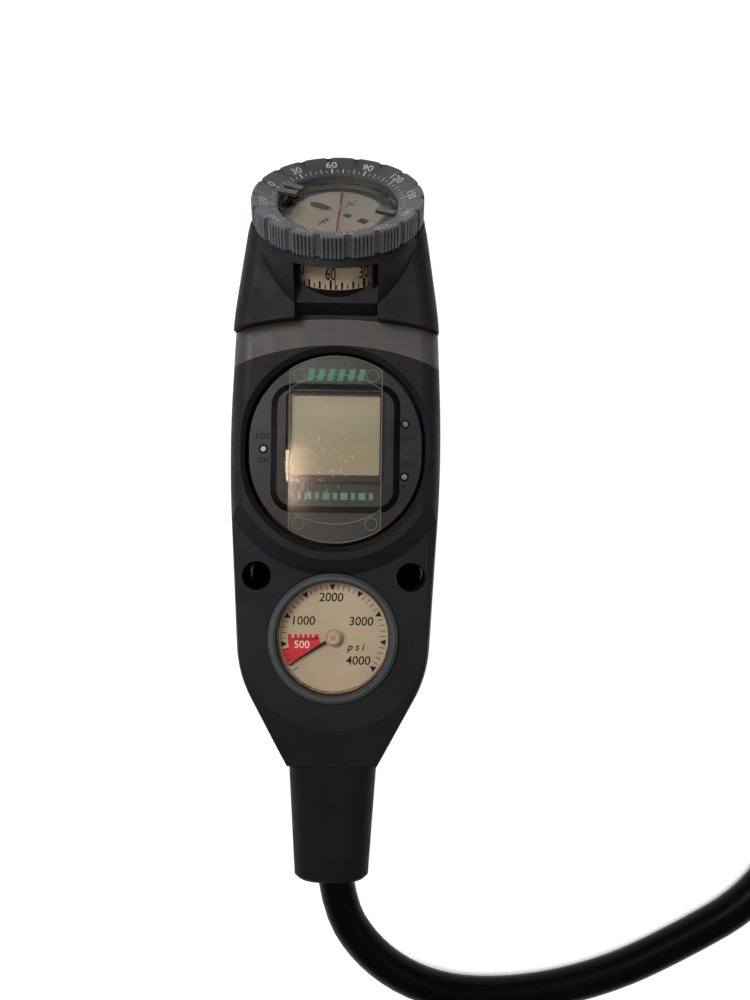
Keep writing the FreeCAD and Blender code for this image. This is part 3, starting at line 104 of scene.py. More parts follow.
class Finish:
    """A material with its Principled shader and its node tree at hand."""

    def __init__(self, name):
        self.material = bpy.data.materials.new(name)
        self.material.use_nodes = True
        self.tree = self.material.node_tree
        self.shader = self.tree.nodes["Principled BSDF"]
        self.output = self.tree.nodes["Material Output"]
        self.place = self.node("ShaderNodeTexCoord").outputs["Object"]

    def node(self, kind, inputs=None, **settings):
        """Adds one node: settings are its own fields, inputs its sockets, each a value or a socket to link."""
        made = self.tree.nodes.new(kind)
        for key, value in settings.items():
            setattr(made, key, value)
        for key, value in (inputs or {}).items():
            if isinstance(value, bpy.types.NodeSocket):
                self.tree.links.new(value, made.inputs[key])
            else:
                made.inputs[key].default_value = value
        return made

    def set(self, **values):
        for key, value in values.items():
            socket = self.shader.inputs[key.replace("_", " ")]
            if isinstance(value, bpy.types.NodeSocket):
                self.tree.links.new(value, socket)
            else:
                socket.default_value = value
        return self

    def stretched(self, x, y, z, turn=0.0):
        """Object place turned about Z, then measured along each axis in steps of so many metres."""
        return self.node("ShaderNodeMapping", {
            "Vector": self.place, "Rotation": (0, 0, turn), "Scale": (x, y, z)},
            vector_type="TEXTURE").outputs["Vector"]

    def noise(self, size_mm, detail=3.0, roughness=0.55, vector=None):
        return self.node("ShaderNodeTexNoise", {
            "Vector": vector or self.place, "Scale": 1 / (size_mm * MM) if vector is None else 1.0,
            "Detail": detail, "Roughness": roughness}).outputs["Fac"]

    def ramp(self, fac, *stops):
        """Colour ramp from (place, hex colour) stops."""
        made = self.node("ShaderNodeValToRGB", {"Fac": fac})
        elements = made.color_ramp.elements
        while len(elements) < len(stops):
            elements.new(0.5)
        for element, (place, code) in zip(elements, stops):
            element.position = place
            element.color = linear(code)
        return made.outputs["Color"]

    def range(self, value, low, high, to_low, to_high):
        return self.node("ShaderNodeMapRange", {
            "Value": value, "From Min": low, "From Max": high, "To Min": to_low, "To Max": to_high}).outputs["Result"]

    def mix(self, fac, first, second):
        made = self.node("ShaderNodeMix", data_type="RGBA")
        for key, value in ((0, fac), (6, first), (7, second)):
            if isinstance(value, bpy.types.NodeSocket):
                self.tree.links.new(value, made.inputs[key])
            else:
                made.inputs[key].default_value = value
        return made.outputs[2]

    def math(self, operation, first, second):
        return self.node("ShaderNodeMath", {0: first, 1: second}, operation=operation).outputs[0]

    def vector(self, operation, first, second, output="Vector"):
        return self.node("ShaderNodeVectorMath", {0: first, 1: second}, operation=operation).outputs[output]

    def bump(self, height, depth_mm, strength):
        return self.node("ShaderNodeBump", {
            "Height": height, "Distance": depth_mm * MM, "Strength": strength}).outputs["Normal"]

    def scratches(self, angle, spacing_mm, length_mm, rarity):
        """Thin lines along one direction: a noise stretched far along it, cut near its top."""
        across = spacing_mm * MM
        along = length_mm * MM
        field = self.noise(1.0, detail=1.0, vector=self.stretched(across, along, across, math.radians(angle)))
        return self.range(field, rarity, rarity + 0.06, 0.0, 1.0)

    def clear(self):
        """Lets lamp light through what would otherwise shade the parts behind it."""
        ray = self.node("ShaderNodeLightPath").outputs["Is Shadow Ray"]
        film = self.node("ShaderNodeBsdfTransparent")
        both = self.node("ShaderNodeMixShader")
        self.tree.links.new(ray, both.inputs[0])
        self.tree.links.new(self.shader.outputs[0], both.inputs[1])
        self.tree.links.new(film.outputs[0], both.inputs[2])
        self.tree.links.new(both.outputs[0], self.output.inputs["Surface"])
        return self


def moulded_rubber(name, deep, pale, gloss=0.56, shine=0.28):
    """Nitrile rubber, compression moulded: near black with a soft bluish bloom, faint dust and a fine pebble."""
    f = Finish(name)
    cloud = f.noise(26.0, detail=4.0)
    colour = f.ramp(cloud, (0.32, deep), (0.68, pale))
    dust = f.range(f.noise(0.9, detail=6.0, roughness=0.7), 0.67, 0.74, 0.0, 0.5)
    scuff = f.scratches(63.0, 0.5, 5.0, 0.8)
    colour = f.mix(f.math("MAXIMUM", dust, scuff), colour, linear("#4c4d50"))
    rough = f.range(f.noise(9.0, detail=3.0), 0.3, 0.7, gloss - 0.07, gloss + 0.09)
    fine = f.bump(f.noise(0.45, detail=2.0), 0.02, 0.5)
    return f.set(Base_Color=colour, Roughness=rough, Normal=fine, Specular_IOR_Level=shine).material


def moulded_plastic(name, deep, pale, gloss=0.45, wear="#7a7975"):
    """ABS, injection moulded with a fine spark texture; fine scratches show paler than the face."""
    f = Finish(name)
    colour = f.ramp(f.noise(18.0, detail=4.0), (0.3, deep), (0.7, pale))
    lines = f.math("MAXIMUM", f.scratches(12.0, 0.35, 9.0, 0.73), f.scratches(-58.0, 0.4, 7.0, 0.75))
    lines = f.math("MULTIPLY", lines, 0.35)
    colour = f.mix(lines, colour, linear(wear))
    rough = f.range(f.noise(6.0), 0.3, 0.7, gloss - 0.06, gloss + 0.08)
    fine = f.bump(f.noise(0.3, detail=2.0), 0.01, 0.4)
    return f.set(Base_Color=colour, Roughness=rough, Normal=fine).material


def worn_bezel(name):
    """ABS, moulded grey, rubbed on the crests of its grips, with painted shade darkening its grooves."""
    f = Finish(name)
    colour = f.ramp(f.noise(18.0, detail=4.0), (0.3, "#474949"), (0.7, "#565858"))
    crest = f.node("ShaderNodeNewGeometry").outputs["Pointiness"]
    rubbed = f.range(f.noise(0.9, detail=4.0), 0.42, 0.6, 0.2, 1.0)
    high = f.range(crest, 0.505, 0.56, 0.0, 0.9)
    worn = f.math("MULTIPLY", high, rubbed)
    reach = f.vector("DISTANCE", f.place, tuple(compass_top), output="Value")
    gripped = f.range(reach, 0.026, 0.029, 0.0, 1.0)
    worn = f.math("MULTIPLY", worn, gripped)
    colour = f.mix(worn, colour, linear("#7a7c7b"))
    # Painted shade: hollows found by pointiness are darkened towards near black.
    colour = f.mix(f.range(crest, 0.495, 0.44, 0.0, 0.9), colour, linear("#151617"))
    lines = f.math("MULTIPLY", f.scratches(12.0, 0.35, 6.0, 0.74), 0.3)
    colour = f.mix(lines, colour, linear("#8d8e8d"))
    rough = f.range(f.noise(6.0), 0.3, 0.7, 0.38, 0.5)
    return f.set(Base_Color=colour, Roughness=rough, Normal=f.bump(f.noise(0.3, detail=2.0), 0.01, 0.4)).material


def printed_face(name, deep, pale):
    """Dial of lacquered sheet, cream with age, with a faint speckle."""
    f = Finish(name)
    colour = f.ramp(f.noise(17.0, detail=3.0), (0.3, deep), (0.7, pale))
    speck = f.range(f.noise(0.35, detail=2.0), 0.62, 0.72, 0.0, 0.25)
    colour = f.mix(speck, colour, linear("#8d7f6a"))
    return f.set(Base_Color=colour, Roughness=0.4).material


def card_face(name, deep, pale):
    """Acetal card, cream with age; painted shade makes its bevel browner, and painted light makes its skirt paler
    where the bezel shades it.
    """
    f = Finish(name)
    flat = f.ramp(f.noise(17.0, detail=3.0), (0.3, deep), (0.7, pale))
    from_top = f.vector("SUBTRACT", f.place, tuple(compass_top))
    height = f.vector("DOT_PRODUCT", from_top, tuple(compass_axis), output="Value")
    # Painted shade: below its flat top the card is darkened to brown over the bevel.
    bevel_painted_shade = f.range(height, (card_level - 0.7) * MM, (card_level - 0.15) * MM, 0.7, 0.0)
    # Painted light: the skirt gets a paler cream, standing in for the light the bezel keeps off it.
    skirt_painted_light = f.range(height, (card_bevel_foot - 0.4) * MM, (card_bevel_foot + 0.2) * MM, 0.0, 1.0)
    colour = f.mix(bevel_painted_shade, flat, linear("#3c3026"))
    colour = f.mix(skirt_painted_light, linear("#bcae98"), colour)
    return f.set(Base_Color=colour, Roughness=0.4).material


def ink(name, code):
    """Screen printed ink: a flat thin film, slightly broken by the face under it."""
    f = Finish(name)
    worn = f.range(f.noise(0.5, detail=3.0), 0.3, 0.7, 0.0, 0.3)
    base = linear(code)
    faded = tuple(c * 0.6 + 0.01 for c in base[:3]) + (1.0,)
    return f.set(Base_Color=f.mix(worn, base, faded), Roughness=0.7, Specular_IOR_Level=0.15).material


def hub_ivory(name):
    """Nylon cap of the needle: ivory yellowed at its middle, paler towards its edge."""
    f = Finish(name)
    from_axis = f.vector("MULTIPLY", f.vector("SUBTRACT", f.place, (gauge.x, gauge.y, 0)), (1, 1, 0))
    radius = f.vector("DISTANCE", from_axis, (0, 0, 0), output="Value")
    share = f.range(radius, 0.0, hub_radius * MM, 0.0, 1.0)
    colour = f.ramp(share, (0.0, "#8a6440"), (0.3, "#a5805a"), (0.62, "#b39c7d"), (0.68, "#75644f"),
                    (0.78, "#a39480"))
    return f.set(Base_Color=colour, Roughness=0.3).material


def clear_plastic(name, haze=0.0, scratched=0.0, bend=1.3):
    """Polycarbonate, moulded clear: bright edges, with wear that shows as fine pale lines.

    Where fluid lies behind it, its inner wall hardly reflects, so the light bends and glances off less.
    """
    f = Finish(name)
    rough = haze
    if scratched:
        fields = [f.scratches(angle, 0.3, 6.0, 0.7) for angle in (15.0, 70.0, 128.0)]
        lines = f.math("MAXIMUM", f.math("MAXIMUM", fields[0], fields[1]), fields[2])
        rough = f.range(lines, 0.0, 1.0, haze, scratched)
        f.set(Normal=f.bump(lines, 0.01, 0.3))
    f.set(Base_Color=linear("#f6f5ef"), Roughness=rough, Transmission_Weight=1.0, IOR=bend)
    return f.clear().material


def turned_metal(name, code, gloss=0.28):
    """Turned and plated brass or drawn steel: fine rings from the tool, a soft satin."""
    f = Finish(name)
    rough = f.range(f.noise(2.5, detail=4.0), 0.3, 0.7, gloss - 0.05, gloss + 0.1)
    tooth = f.bump(f.noise(0.2, detail=2.0), 0.005, 0.3)
    worn = f.ramp(f.noise(5.0), (0.35, code), (0.8, "#b9b5ad"))
    return f.set(Base_Color=worn, Roughness=rough, Metallic=1.0, Normal=tooth).material


def liquid_crystal(name):
    """Reflective display, unpowered: grey-green film over a bright backing, with painted light: lighter high up and
    warmer at its lower edge as a painted glint.
    """
    f = Finish(name)
    low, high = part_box("lcd_module")
    height = f.node("ShaderNodeSeparateXYZ", {"Vector": f.place}).outputs["Y"]
    height_for_painted_light = f.range(height, low.y, high.y, 0.0, 1.0)
    # Painted light: the colour runs with height, darker across the middle, lighter above, and warm at the foot as a
    # painted glint.
    colour = f.ramp(height_for_painted_light, (0.0, "#8b7d67"), (0.5, "#827d6c"), (0.85, "#908878"), (1.0, "#8c8071"))
    grain = f.range(f.noise(0.4, detail=3.0), 0.3, 0.7, 0.0, 0.2)
    colour = f.mix(grain, colour, linear("#6c6656"))
    return f.set(Base_Color=colour, Roughness=0.35).material


boot_rubber = moulded_rubber("nitrile_rubber_moulded", "#141516", "#1c1d1e")
neck_rubber = moulded_rubber("nitrile_rubber_neck", "#1e1f1e", "#242524", gloss=0.5, shine=0.04)
band_plastic = moulded_plastic("abs_warm_grey", "#494443", "#544f4d", gloss=0.46)
bezel_plastic = worn_bezel("abs_bezel_grey")
case_plastic = moulded_plastic("abs_cover_black", "#0d0d0e", "#151416", gloss=0.36, wear="#3a3834")
gauge_plastic = moulded_plastic("abs_gauge_ring", "#424546", "#505354", gloss=0.5)
post_plastic = moulded_plastic("abs_index_posts", "#363935", "#454843", gloss=0.4)
dial_cream = printed_face("lacquered_dial_cream", "#a18f7b", "#ac9c87")
card_cream = card_face("acetal_card_cream", "#6b6053", "#766a5c")
marks_white = ink("ink_white", "#d9dad8")
marks_black = ink("ink_black", "#0c0c10")
marks_red = ink("ink_red", "#c8303a")
marks_red_faded = ink("ink_red_faded", "#983a31")
marks_faded = ink("ink_faded_black", "#4d453c")
marks_green = ink("ink_sea_green", "#4f8470")
# Painted shade: near-black film for the debossed letters and the recessed rings round the studs on the cover.
painted_shade_words = ink("debossed_words_painted_shade", "#050506")
clear_window = clear_plastic("polycarbonate_clear")
clear_capsule = clear_plastic("polycarbonate_fluid_filled", bend=1.12)
clear_guard = clear_plastic("polycarbonate_scratched", haze=0.1, scratched=0.25)
plated_brass = turned_metal("brass_nickel_plated", "#8e8a84")
raw_brass = turned_metal("brass_turned", "#a98a4a")
steel = turned_metal("stainless_steel_turned", "#5d5d5c", gloss=0.4)
ivory = hub_ivory("nylon_ivory")
display_film = liquid_crystal("liquid_crystal_glass")
seal_rubber = moulded_rubber("nitrile_seal", "#131314", "#1b1b1c", gloss=0.45)
board_green = moulded_plastic("epoxy_board_green", "#12402a", "#1a5236", gloss=0.3)
magnet_ferrite = moulded_plastic("ferrite_sintered", "#2a2a2b", "#363637", gloss=0.55)


def hose_cover():
    """Hose of extruded synthetic rubber, wrapped cure: near black, semi-gloss, with a faint cloth print."""
    f = Finish("hose_cover_rubber")
    colour = f.ramp(f.noise(30.0, detail=4.0), (0.3, "#050605"), (0.7, "#090a08"))
    dust = f.range(f.noise(1.5, detail=6.0, roughness=0.7), 0.66, 0.74, 0.0, 0.25)
    colour = f.mix(dust, colour, linear("#2c2d2a"))
    rough = f.range(f.noise(12.0), 0.3, 0.7, 0.3, 0.42)
    fine = f.bump(f.noise(0.8, detail=2.0), 0.02, 0.5)
    return f.set(Base_Color=colour, Roughness=rough, Normal=fine, Specular_IOR_Level=0.06).material


hose_rubber = hose_cover()

node_finish = {
    "main_boot": boot_rubber, "compass_cradle": boot_rubber, "neck_sleeve": neck_rubber,
    "accent_band": band_plastic, "gauge_bezel": gauge_plastic, "bezel_ring": bezel_plastic,
    "index_posts": post_plastic, "gauge_lens": clear_window, "computer_window": clear_window,
    "capsule_shell": clear_capsule, "card_jewel": clear_window, "lens_guard": clear_guard,
    "dial_plate": dial_cream, "compass_card": card_cream, "pointer": marks_black, "hub_cap": ivory,
    "lcd_module": display_film, "lcd_mask": case_plastic, "computer_cover": case_plastic,
    "computer_case": case_plastic, "display_carrier": case_plastic, "capsule_base": case_plastic,
    "diaphragm_ring": case_plastic, "battery_cap": case_plastic, "circuit_chips": case_plastic,
    "circuit_board": board_green, "card_magnets": magnet_ferrite,
    "gauge_case": raw_brass, "bourdon_spiral": raw_brass, "movement_frame": raw_brass, "inlet_stem": raw_brass,
    "buzzer": raw_brass, "hose_nut": plated_brass, "hose_barb": plated_brass, "gauge_end_ferrule": plated_brass,
    "port_end_ferrule": plated_brass, "port_fitting": plated_brass, "contact_studs": steel,
    "pointer_shaft": steel, "swivel_spool": steel, "battery": steel, "battery_contacts": steel,
    "pressure_sensor": steel, "case_screws": steel, "band_screws": steel, "bezel_snap_ring": steel,
    "bezel_click_spring": steel, "pivot_pin": steel,
    "lens_gasket": seal_rubber, "spool_orings": seal_rubber, "case_gasket": seal_rubber,
    "battery_cap_oring": seal_rubber, "blowout_plug": seal_rubber, "diaphragm": seal_rubber,
    "hose_tie": seal_rubber, "port_oring": seal_rubber, "hose": hose_rubber, "hose_coil": hose_rubber,
}
for name, finish in node_finish.items():
    target = frame["nodes"][name]
    target.data.materials.clear()
    target.data.materials.append(finish)


# Marks: flat shapes drawn in millimetres, then laid on a surface of the part as one thin piece

class Marks:
    def __init__(self):
        self.sheet = bmesh.new()

    def shape(self, points):
        self.sheet.faces.new([self.sheet.verts.new((x, y, 0)) for x, y in points])

    def bar(self, x, y, width, length, turn=0.0):
        """Rectangle round a point, its length along Y before it is turned."""
        spin = Matrix.Rotation(math.radians(turn), 2)
        corners = [Vector((a * width / 2, b * length / 2)) for a, b in ((-1, -1), (1, -1), (1, 1), (-1, 1))]
        self.shape([(x + (spin @ c).x, y + (spin @ c).y) for c in corners])

    def spoke(self, angle, inner, outer, width):
        radius = (inner + outer) / 2
        way = math.radians(angle)
        self.bar(radius * math.cos(way), radius * math.sin(way), width, outer - inner, angle - 90)

    def ring(self, x, y, inner, outer, first=0.0, last=360.0, steps=60):
        for k in range(steps):
            a, b = (math.radians(first + (last - first) * (k + e) / steps) for e in (0, 1))
            self.shape([(x + r * math.cos(t), y + r * math.sin(t))
                        for r, t in ((inner, a), (outer, a), (outer, b), (inner, b))])

    def line(self, points, width):
        """Strip of an even width along a polyline."""
        for (x0, y0), (x1, y1) in zip(points, points[1:]):
            length = math.hypot(x1 - x0, y1 - y0)
            turn = math.degrees(math.atan2(y1 - y0, x1 - x0)) - 90
            self.bar((x0 + x1) / 2, (y0 + y1) / 2, width, length + width * 0.6, turn)

    def words(self, text, x, y, height, turn=0.0, narrow=0.8, slant=0.0, weight=0.0, spacing=1.0):
        """Letters of a capital height round a point, narrowed, slanted and made bolder as asked."""
        font = bpy.data.curves.new("words", "FONT")
        font.body = text
        font.shear = slant
        font.offset = weight
        font.space_character = spacing
        font.resolution_u = 5
        holder = bpy.data.objects.new("words", font)
        mesh = bpy.data.meshes.new_from_object(holder)
        capital = 0.73
        xs = [v.co.x for v in mesh.vertices]
        ys = [v.co.y for v in mesh.vertices]
        middle_x = (min(xs) + max(xs)) / 2
        middle_y = capital / 2 if min(ys) > -0.1 else (min(ys) + max(ys)) / 2
        spin = Matrix.Rotation(math.radians(turn), 2)
        scale = height / capital
        made = []
        for v in mesh.vertices:
            flat = spin @ Vector(((v.co.x - middle_x) * scale * narrow, (v.co.y - middle_y) * scale))
            made.append(self.sheet.verts.new((x + flat.x, y + flat.y, 0)))
        for face in mesh.polygons:
            self.sheet.faces.new([made[k] for k in face.vertices])
        bpy.data.meshes.remove(mesh)
        bpy.data.objects.remove(holder)
        bpy.data.curves.remove(font)

    def lay(self, name, surface, finish, body, thickness=0.03, lift=0.005):
        """Gives the shapes a thickness and sets them on a surface: a function of x, y and height."""
        bmesh.ops.remove_doubles(self.sheet, verts=self.sheet.verts[:], dist=1e-5)
        top = bmesh.ops.extrude_face_region(self.sheet, geom=self.sheet.faces[:])
        for v in top["geom"]:
            if isinstance(v, bmesh.types.BMVert):
                v.co.z = thickness
        bmesh.ops.recalc_face_normals(self.sheet, faces=self.sheet.faces[:])
        for v in self.sheet.verts:
            v.co = surface(v.co.x, v.co.y, v.co.z + lift) * MM
        return as_piece(self.sheet, name, finish, body)


def as_piece(sheet, name, finish, body, smooth_faces=False):
    mesh = bpy.data.meshes.new(name)
    sheet.to_mesh(mesh)
    sheet.free()
    if smooth_faces:
        mesh.polygons.foreach_set("use_smooth", [True] * len(mesh.polygons))
        mesh.set_sharp_from_angle(angle=math.radians(38))
    mesh.materials.append(finish)
    made = bpy.data.objects.new(name, mesh)
    bpy.context.scene.collection.objects.link(made)
    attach(made, body)
    return made


def flat_at(centre, level):
    return lambda x, y, h: Vector((centre.x / MM + x, centre.y / MM + y, level + h))


def turned_by(angle, x, y):
    way = math.radians(angle)
    return (x * math.cos(way) - y * math.sin(way), x * math.sin(way) + y * math.cos(way))


def in_compass(x, y, z):
    return compass @ (Vector((x, y, z)) * MM) / MM


def on_dish(x, y, h):
    radius = math.hypot(x, y)
    outer = bezel_radius - 0.7
    return in_compass(x, y, -bezel_dish * (outer - radius) / (outer - bezel_bore) + h)


def on_lens(x, y, h):
    return in_compass(x, y, lens_level + h)


def on_card(x, y, h):
    radius = max(math.hypot(x, y), card_flat)
    slope = (card_level - card_bevel_foot) / (card_skirt - card_flat)
    return in_compass(x, y, card_level - slope * (radius - card_flat) + h)


def round_wall(radius):
    """Wall of a radius in the compass: x is the way round from the front, y the height along the axis."""
    def surface(x, y, h):
        angle = math.radians(270) + x / radius
        return in_compass((radius + h) * math.cos(angle), (radius + h) * math.sin(angle), y)
    return surface


# Compass bezel: lobes with grip grooves, dished face with its degree scale

lobe_count = 18
lobe_phase = 1.4
lobe_notch = 3.3
lobe_depth = 1.15
groove_count = 5
groove_pitch = 1.45
groove_width = 0.8
groove_depth = 0.65


def bell(distance, width):
    """1 at the middle of a groove, easing to 0 at its edges."""
    share = min(abs(distance) / (width / 2), 1.0)
    return (1 + math.cos(math.pi * share ** 2.2)) / 2


def ribbed_bezel():
    """(radius, height, share of notch, share of grooves) down the section, from the bore's foot round to it again."""
    rim = bezel_radius - 0.7
    section = [
        (bezel_bore, -bezel_height, 0, 0), (bezel_bore, -bezel_dish - 0.25, 0, 0),
        (bezel_bore + 0.2, -bezel_dish - 0.05, 0, 0), (bezel_bore + 0.6, -bezel_dish + 0.13, 0, 0),
        (rim - 1.4, -0.5, 0, 0), (rim - 0.3, -0.12, 0.3, 0), (rim + 0.05, -0.03, 0.7, 0), (rim + 0.4, -0.2, 1, 0.1),
        (bezel_radius - 0.1, -0.6, 1, 0.35), (bezel_radius, -1.2, 1, 0.9), (bezel_radius, -2.0, 1, 1),
        (bezel_radius, -5.2, 1, 1), (bezel_radius, -bezel_height + 0.7, 1, 1),
        (bezel_radius - 0.35, -bezel_height + 0.1, 1, 0.8), (bezel_radius - 0.9, -bezel_height, 0.6, 0.2),
    ]
    columns = lobe_count * 72
    sheet = bmesh.new()
    rows = []
    for column in range(columns):
        angle = 360 * column / columns
        from_notch = (angle - bezel_zero - lobe_phase + 180 / lobe_count) % (360 / lobe_count) - 180 / lobe_count
        around = math.radians(from_notch) * bezel_radius
        notch = bell(around, lobe_notch)
        lobe = ((angle - bezel_zero - lobe_phase) % (360 / lobe_count)) - 180 / lobe_count
        along = math.radians(lobe) * bezel_radius
        groove = max(bell(along - (k - (groove_count - 1) / 2) * groove_pitch, groove_width)
                     for k in range(groove_count))
        way = math.radians(angle)
        row = []
        for radius, height, notch_share, groove_share in section:
            r = radius - lobe_depth * notch * notch_share - groove_depth * groove * groove_share
            row.append(sheet.verts.new(in_compass(r * math.cos(way), r * math.sin(way), height) * MM))
        rows.append(row)
    for row, following in zip(rows, rows[1:] + rows[:1]):
        for k in range(len(section)):
            after = (k + 1) % len(section)
            sheet.faces.new([row[k], row[after], following[after], following[k]])
    bmesh.ops.recalc_face_normals(sheet, faces=sheet.faces[:])
    made = as_piece(sheet, "bezel_ring_ribbed", bezel_plastic, "bezel", smooth_faces=True)
    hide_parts("bezel_ring")


def bezel_scale():
    """Degrees clockwise from the zero: figures with their tops outwards over a ring of ticks."""
    tick_middle = 24.35
    figure_radius = 27.5
    scale = Marks()
    for value in range(0, 360, 5):
        angle = bezel_zero - value
        if value % 30 == 0:
            scale.spoke(angle, tick_middle - 1.15, tick_middle + 1.15, 0.62)
            x, y = turned_by(angle, figure_radius, 0)
            scale.words(str(value), x, y, 3.0, angle - 90, narrow=1.1, weight=0.01)
        elif value % 10 == 0:
            scale.spoke(angle, tick_middle - 1.05, tick_middle + 1.05, 0.3)
        else:
            scale.spoke(angle, tick_middle - 0.65, tick_middle + 0.35, 0.28)
    scale.lay("bezel_scale", on_dish, marks_white, "bezel")


# Compass card: north arrow, east and west, and the degrees on its bevel and skirt

def card_marks():
    """Drawn with north along +X, then turned to where the card points."""
    face = Marks()
    arrow = [(13.4, 0), (11.0, 2.0), (4.4, 1.7), (4.4, -1.7), (11.0, -2.0)]
    face.shape([turned_by(card_north, x, y) for x, y in arrow])
    for radius, size in ((-4.4, 2.8), (-11.5, 3.8)):
        x, y = turned_by(card_north, radius, 0)
        face.bar(x, y, size, size * 0.9, card_north)
    x, y = turned_by(card_north, 3.5, 0)
    face.ring(x, y, 0.55, 0.85, steps=24)
    for letter, side in (("W", 1), ("E", -1)):
        x, y = turned_by(card_north, 0, side * 8.4)
        face.words(letter, x, y, 3.0, card_north - 90, narrow=1.0, weight=0.02)
        for reach in (-2.6, 2.6):
            x, y = turned_by(card_north, 0, side * 8.4 + reach)
            face.bar(x, y, 0.45, 1.9, card_north)
    face.lay("card_face_marks", on_card, marks_black, "card", lift=0.02)

    rim_figure_radius = 19.6
    skirt_tick_foot = -25.8
    rim = Marks()
    skirt = Marks()
    for value in range(0, 360, 30):
        angle = card_north - 180 - value
        x, y = turned_by(angle, rim_figure_radius, 0)
        rim.words(str(value), x, y, 3.6, angle + 90)
    for value in range(0, 360, 5):
        around = math.radians(card_north - 180 - value - 270) * card_skirt
        if value % 30 == 0:
            skirt.words(str(value), around, -19.2, 5.2, narrow=0.56, weight=0.008)
            skirt.bar(around, skirt_tick_foot + 1.9, 0.85, 3.8)
        elif value % 10 == 0:
            skirt.bar(around, skirt_tick_foot + 1.5, 0.75, 3.0)
        else:
            skirt.bar(around, skirt_tick_foot + 1.0, 0.45, 1.9)
    rim.lay("card_rim_figures", on_card, marks_faded, "card", thickness=0.06, lift=0.08)
    skirt.lay("card_skirt_figures", round_wall(card_skirt), marks_black, "card", lift=0.02)


def lubber_line():
    """Red line across the lens, broken at its middle, and down the side of the capsule."""
    line = Marks()
    tilt = math.degrees(math.atan2(1.3, 38))
    offset = 0.75
    for low, high in ((-20.3, -2.2), (1.2, 20.0)):
        halfway = (low + high) / 2
        line.bar(offset + halfway * math.tan(math.radians(tilt)), halfway, 0.55, high - low, -tilt)
    line.lay("lubber_line", on_lens, marks_red_faded, "console")
    side = Marks()
    side.bar(-0.4, -19.0, 0.5, 11.5)
    side.lay("lubber_line_side", round_wall(capsule_radius), marks_red_faded, "console")


# Gauge dial

dial_zero_angle = 221.0
dial_end_angle = -37.7
dial_end_value = 4000
dial_rim = 19.9
dial_degrees_per_unit = (dial_zero_angle - dial_end_angle) / dial_end_value


def dial_angle(value):
    return dial_zero_angle - value * dial_degrees_per_unit


def dial_marks():
    black = Marks()
    black.spoke(dial_angle(0), 17.4, 20.0, 0.3)
    for value in range(100, dial_end_value + 1, 100):
        angle = dial_angle(value)
        if value % 500 == 0:
            points = ((17.6, 0), (dial_rim, -1.2), (dial_rim, 1.2))
            black.shape([turned_by(angle, x, y) for x, y in points])
        else:
            black.spoke(angle, 17.8, dial_rim, 0.27)
    figures = {"1000": (-11.2, 6.2), "2000": (-1.0, 15.2), "3000": (10.5, 6.2), "4000": (9.5, -8.7)}
    for text, (x, y) in figures.items():
        black.words(text, x, y, 3.4, narrow=1.0, slant=0.08, weight=0.01)
    black.words("psi", 8.6, -4.2, 3.0, narrow=0.95, slant=0.25, weight=0.012, spacing=1.5)
    black.lay("dial_marks", flat_at(gauge, dial_level), marks_black, "console")

    red = Marks()
    foot_angle = 212.0
    band_inner = 17.3
    red.ring(0, 0, band_inner, 20.2, 194.0, foot_angle, steps=12)
    red.ring(0, 0, 5.4, band_inner, 182.0, foot_angle, steps=20)
    for left, right in ((-17.2, -15.9), (-14.9, -13.7), (-12.9, -11.8), (-11.0, -9.9), (-9.1, -8.0), (-7.3, -5.6)):
        red.shape([(left, -1.3), (right, -0.6), (right, 0.9), (left, 0.9)])
    red.lay("dial_low_sector", flat_at(gauge, dial_level), marks_red, "console", thickness=0.02)
    white = Marks()
    white.words("500", -11.9, -2.9, 2.9, narrow=1.0)
    white.lay("dial_low_figure", flat_at(gauge, dial_level), marks_white, "console", lift=0.03)


# Computer cover and its clear guard

guard_half_width = 17.3
guard_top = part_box("lens_guard")[1].z / MM
guard_tab_level = 34.3
cover_level = 32.5
window_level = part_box("computer_window")[1].z / MM


def cover_words():
    # The debossed letters and the recessed rings round three studs are laid as a near-black film: painted shade.
    words = Marks()
    for x, y, text in ((-27.2, 4.9, "LOG"), (-27.0, -4.2, "ON"), (27.4, 4.9, "LOG"), (26.6, -5.0, "ON")):
        words.words(text, x, y, 2.2, narrow=0.9)
    words.ring(25.5, -13.3, 0.0, 0.45, steps=16)
    for x, y in ((-27.0, 0.0), (26.0, 9.9), (26.0, -9.9)):
        words.ring(x, y, 1.1, 1.75, steps=28)
    words.lay("cover_words", flat_at(computer, cover_level), painted_shade_words, "console")


def guard_arc(reach, arc, side, points=25):
    """One bulging end of the guard, from its left edge to its right one."""
    return [(x, side * (reach - arc + math.sqrt(arc ** 2 - x ** 2)))
            for x in (guard_half_width * (2 * k / (points - 1) - 1) for k in range(points))]


def guard_edges():
    """Cut edges of the clear guard and the sleeve marks of its four pads, drawn as pale lines: painted highlights
    where light gathers on them.
    """
    for name, reach, arc, level in (("guard_plate_edges", 27.9, 30.2, guard_top),
                                    ("guard_tab_edges", 35.0, 31.4, guard_tab_level)):
        edges = Marks()
        ends = [guard_arc(reach, arc, side) for side in (1, -1)]
        for end in ends:
            edges.line([(x * 0.995, y - math.copysign(0.12, y)) for x, y in end], 0.2)
        for x in (0.1 - guard_half_width, guard_half_width - 0.1):
            if level == guard_top:
                edges.line([(x, ends[0][0][1]), (x, ends[1][0][1])], 0.18)
            else:
                for end, inner in zip(ends, (22.5, -22.5)):
                    edges.line([(x, end[0][1]), (x, inner)], 0.18)
        if level != guard_top:
            for x in (-13.7, 13.7):
                for y in (-27.7, 27.7):
                    edges.ring(x, y, 2.2, 2.36, steps=32)
        edges.lay(name, flat_at(computer, level), edge_painted_highlight, "guard", thickness=0.02)


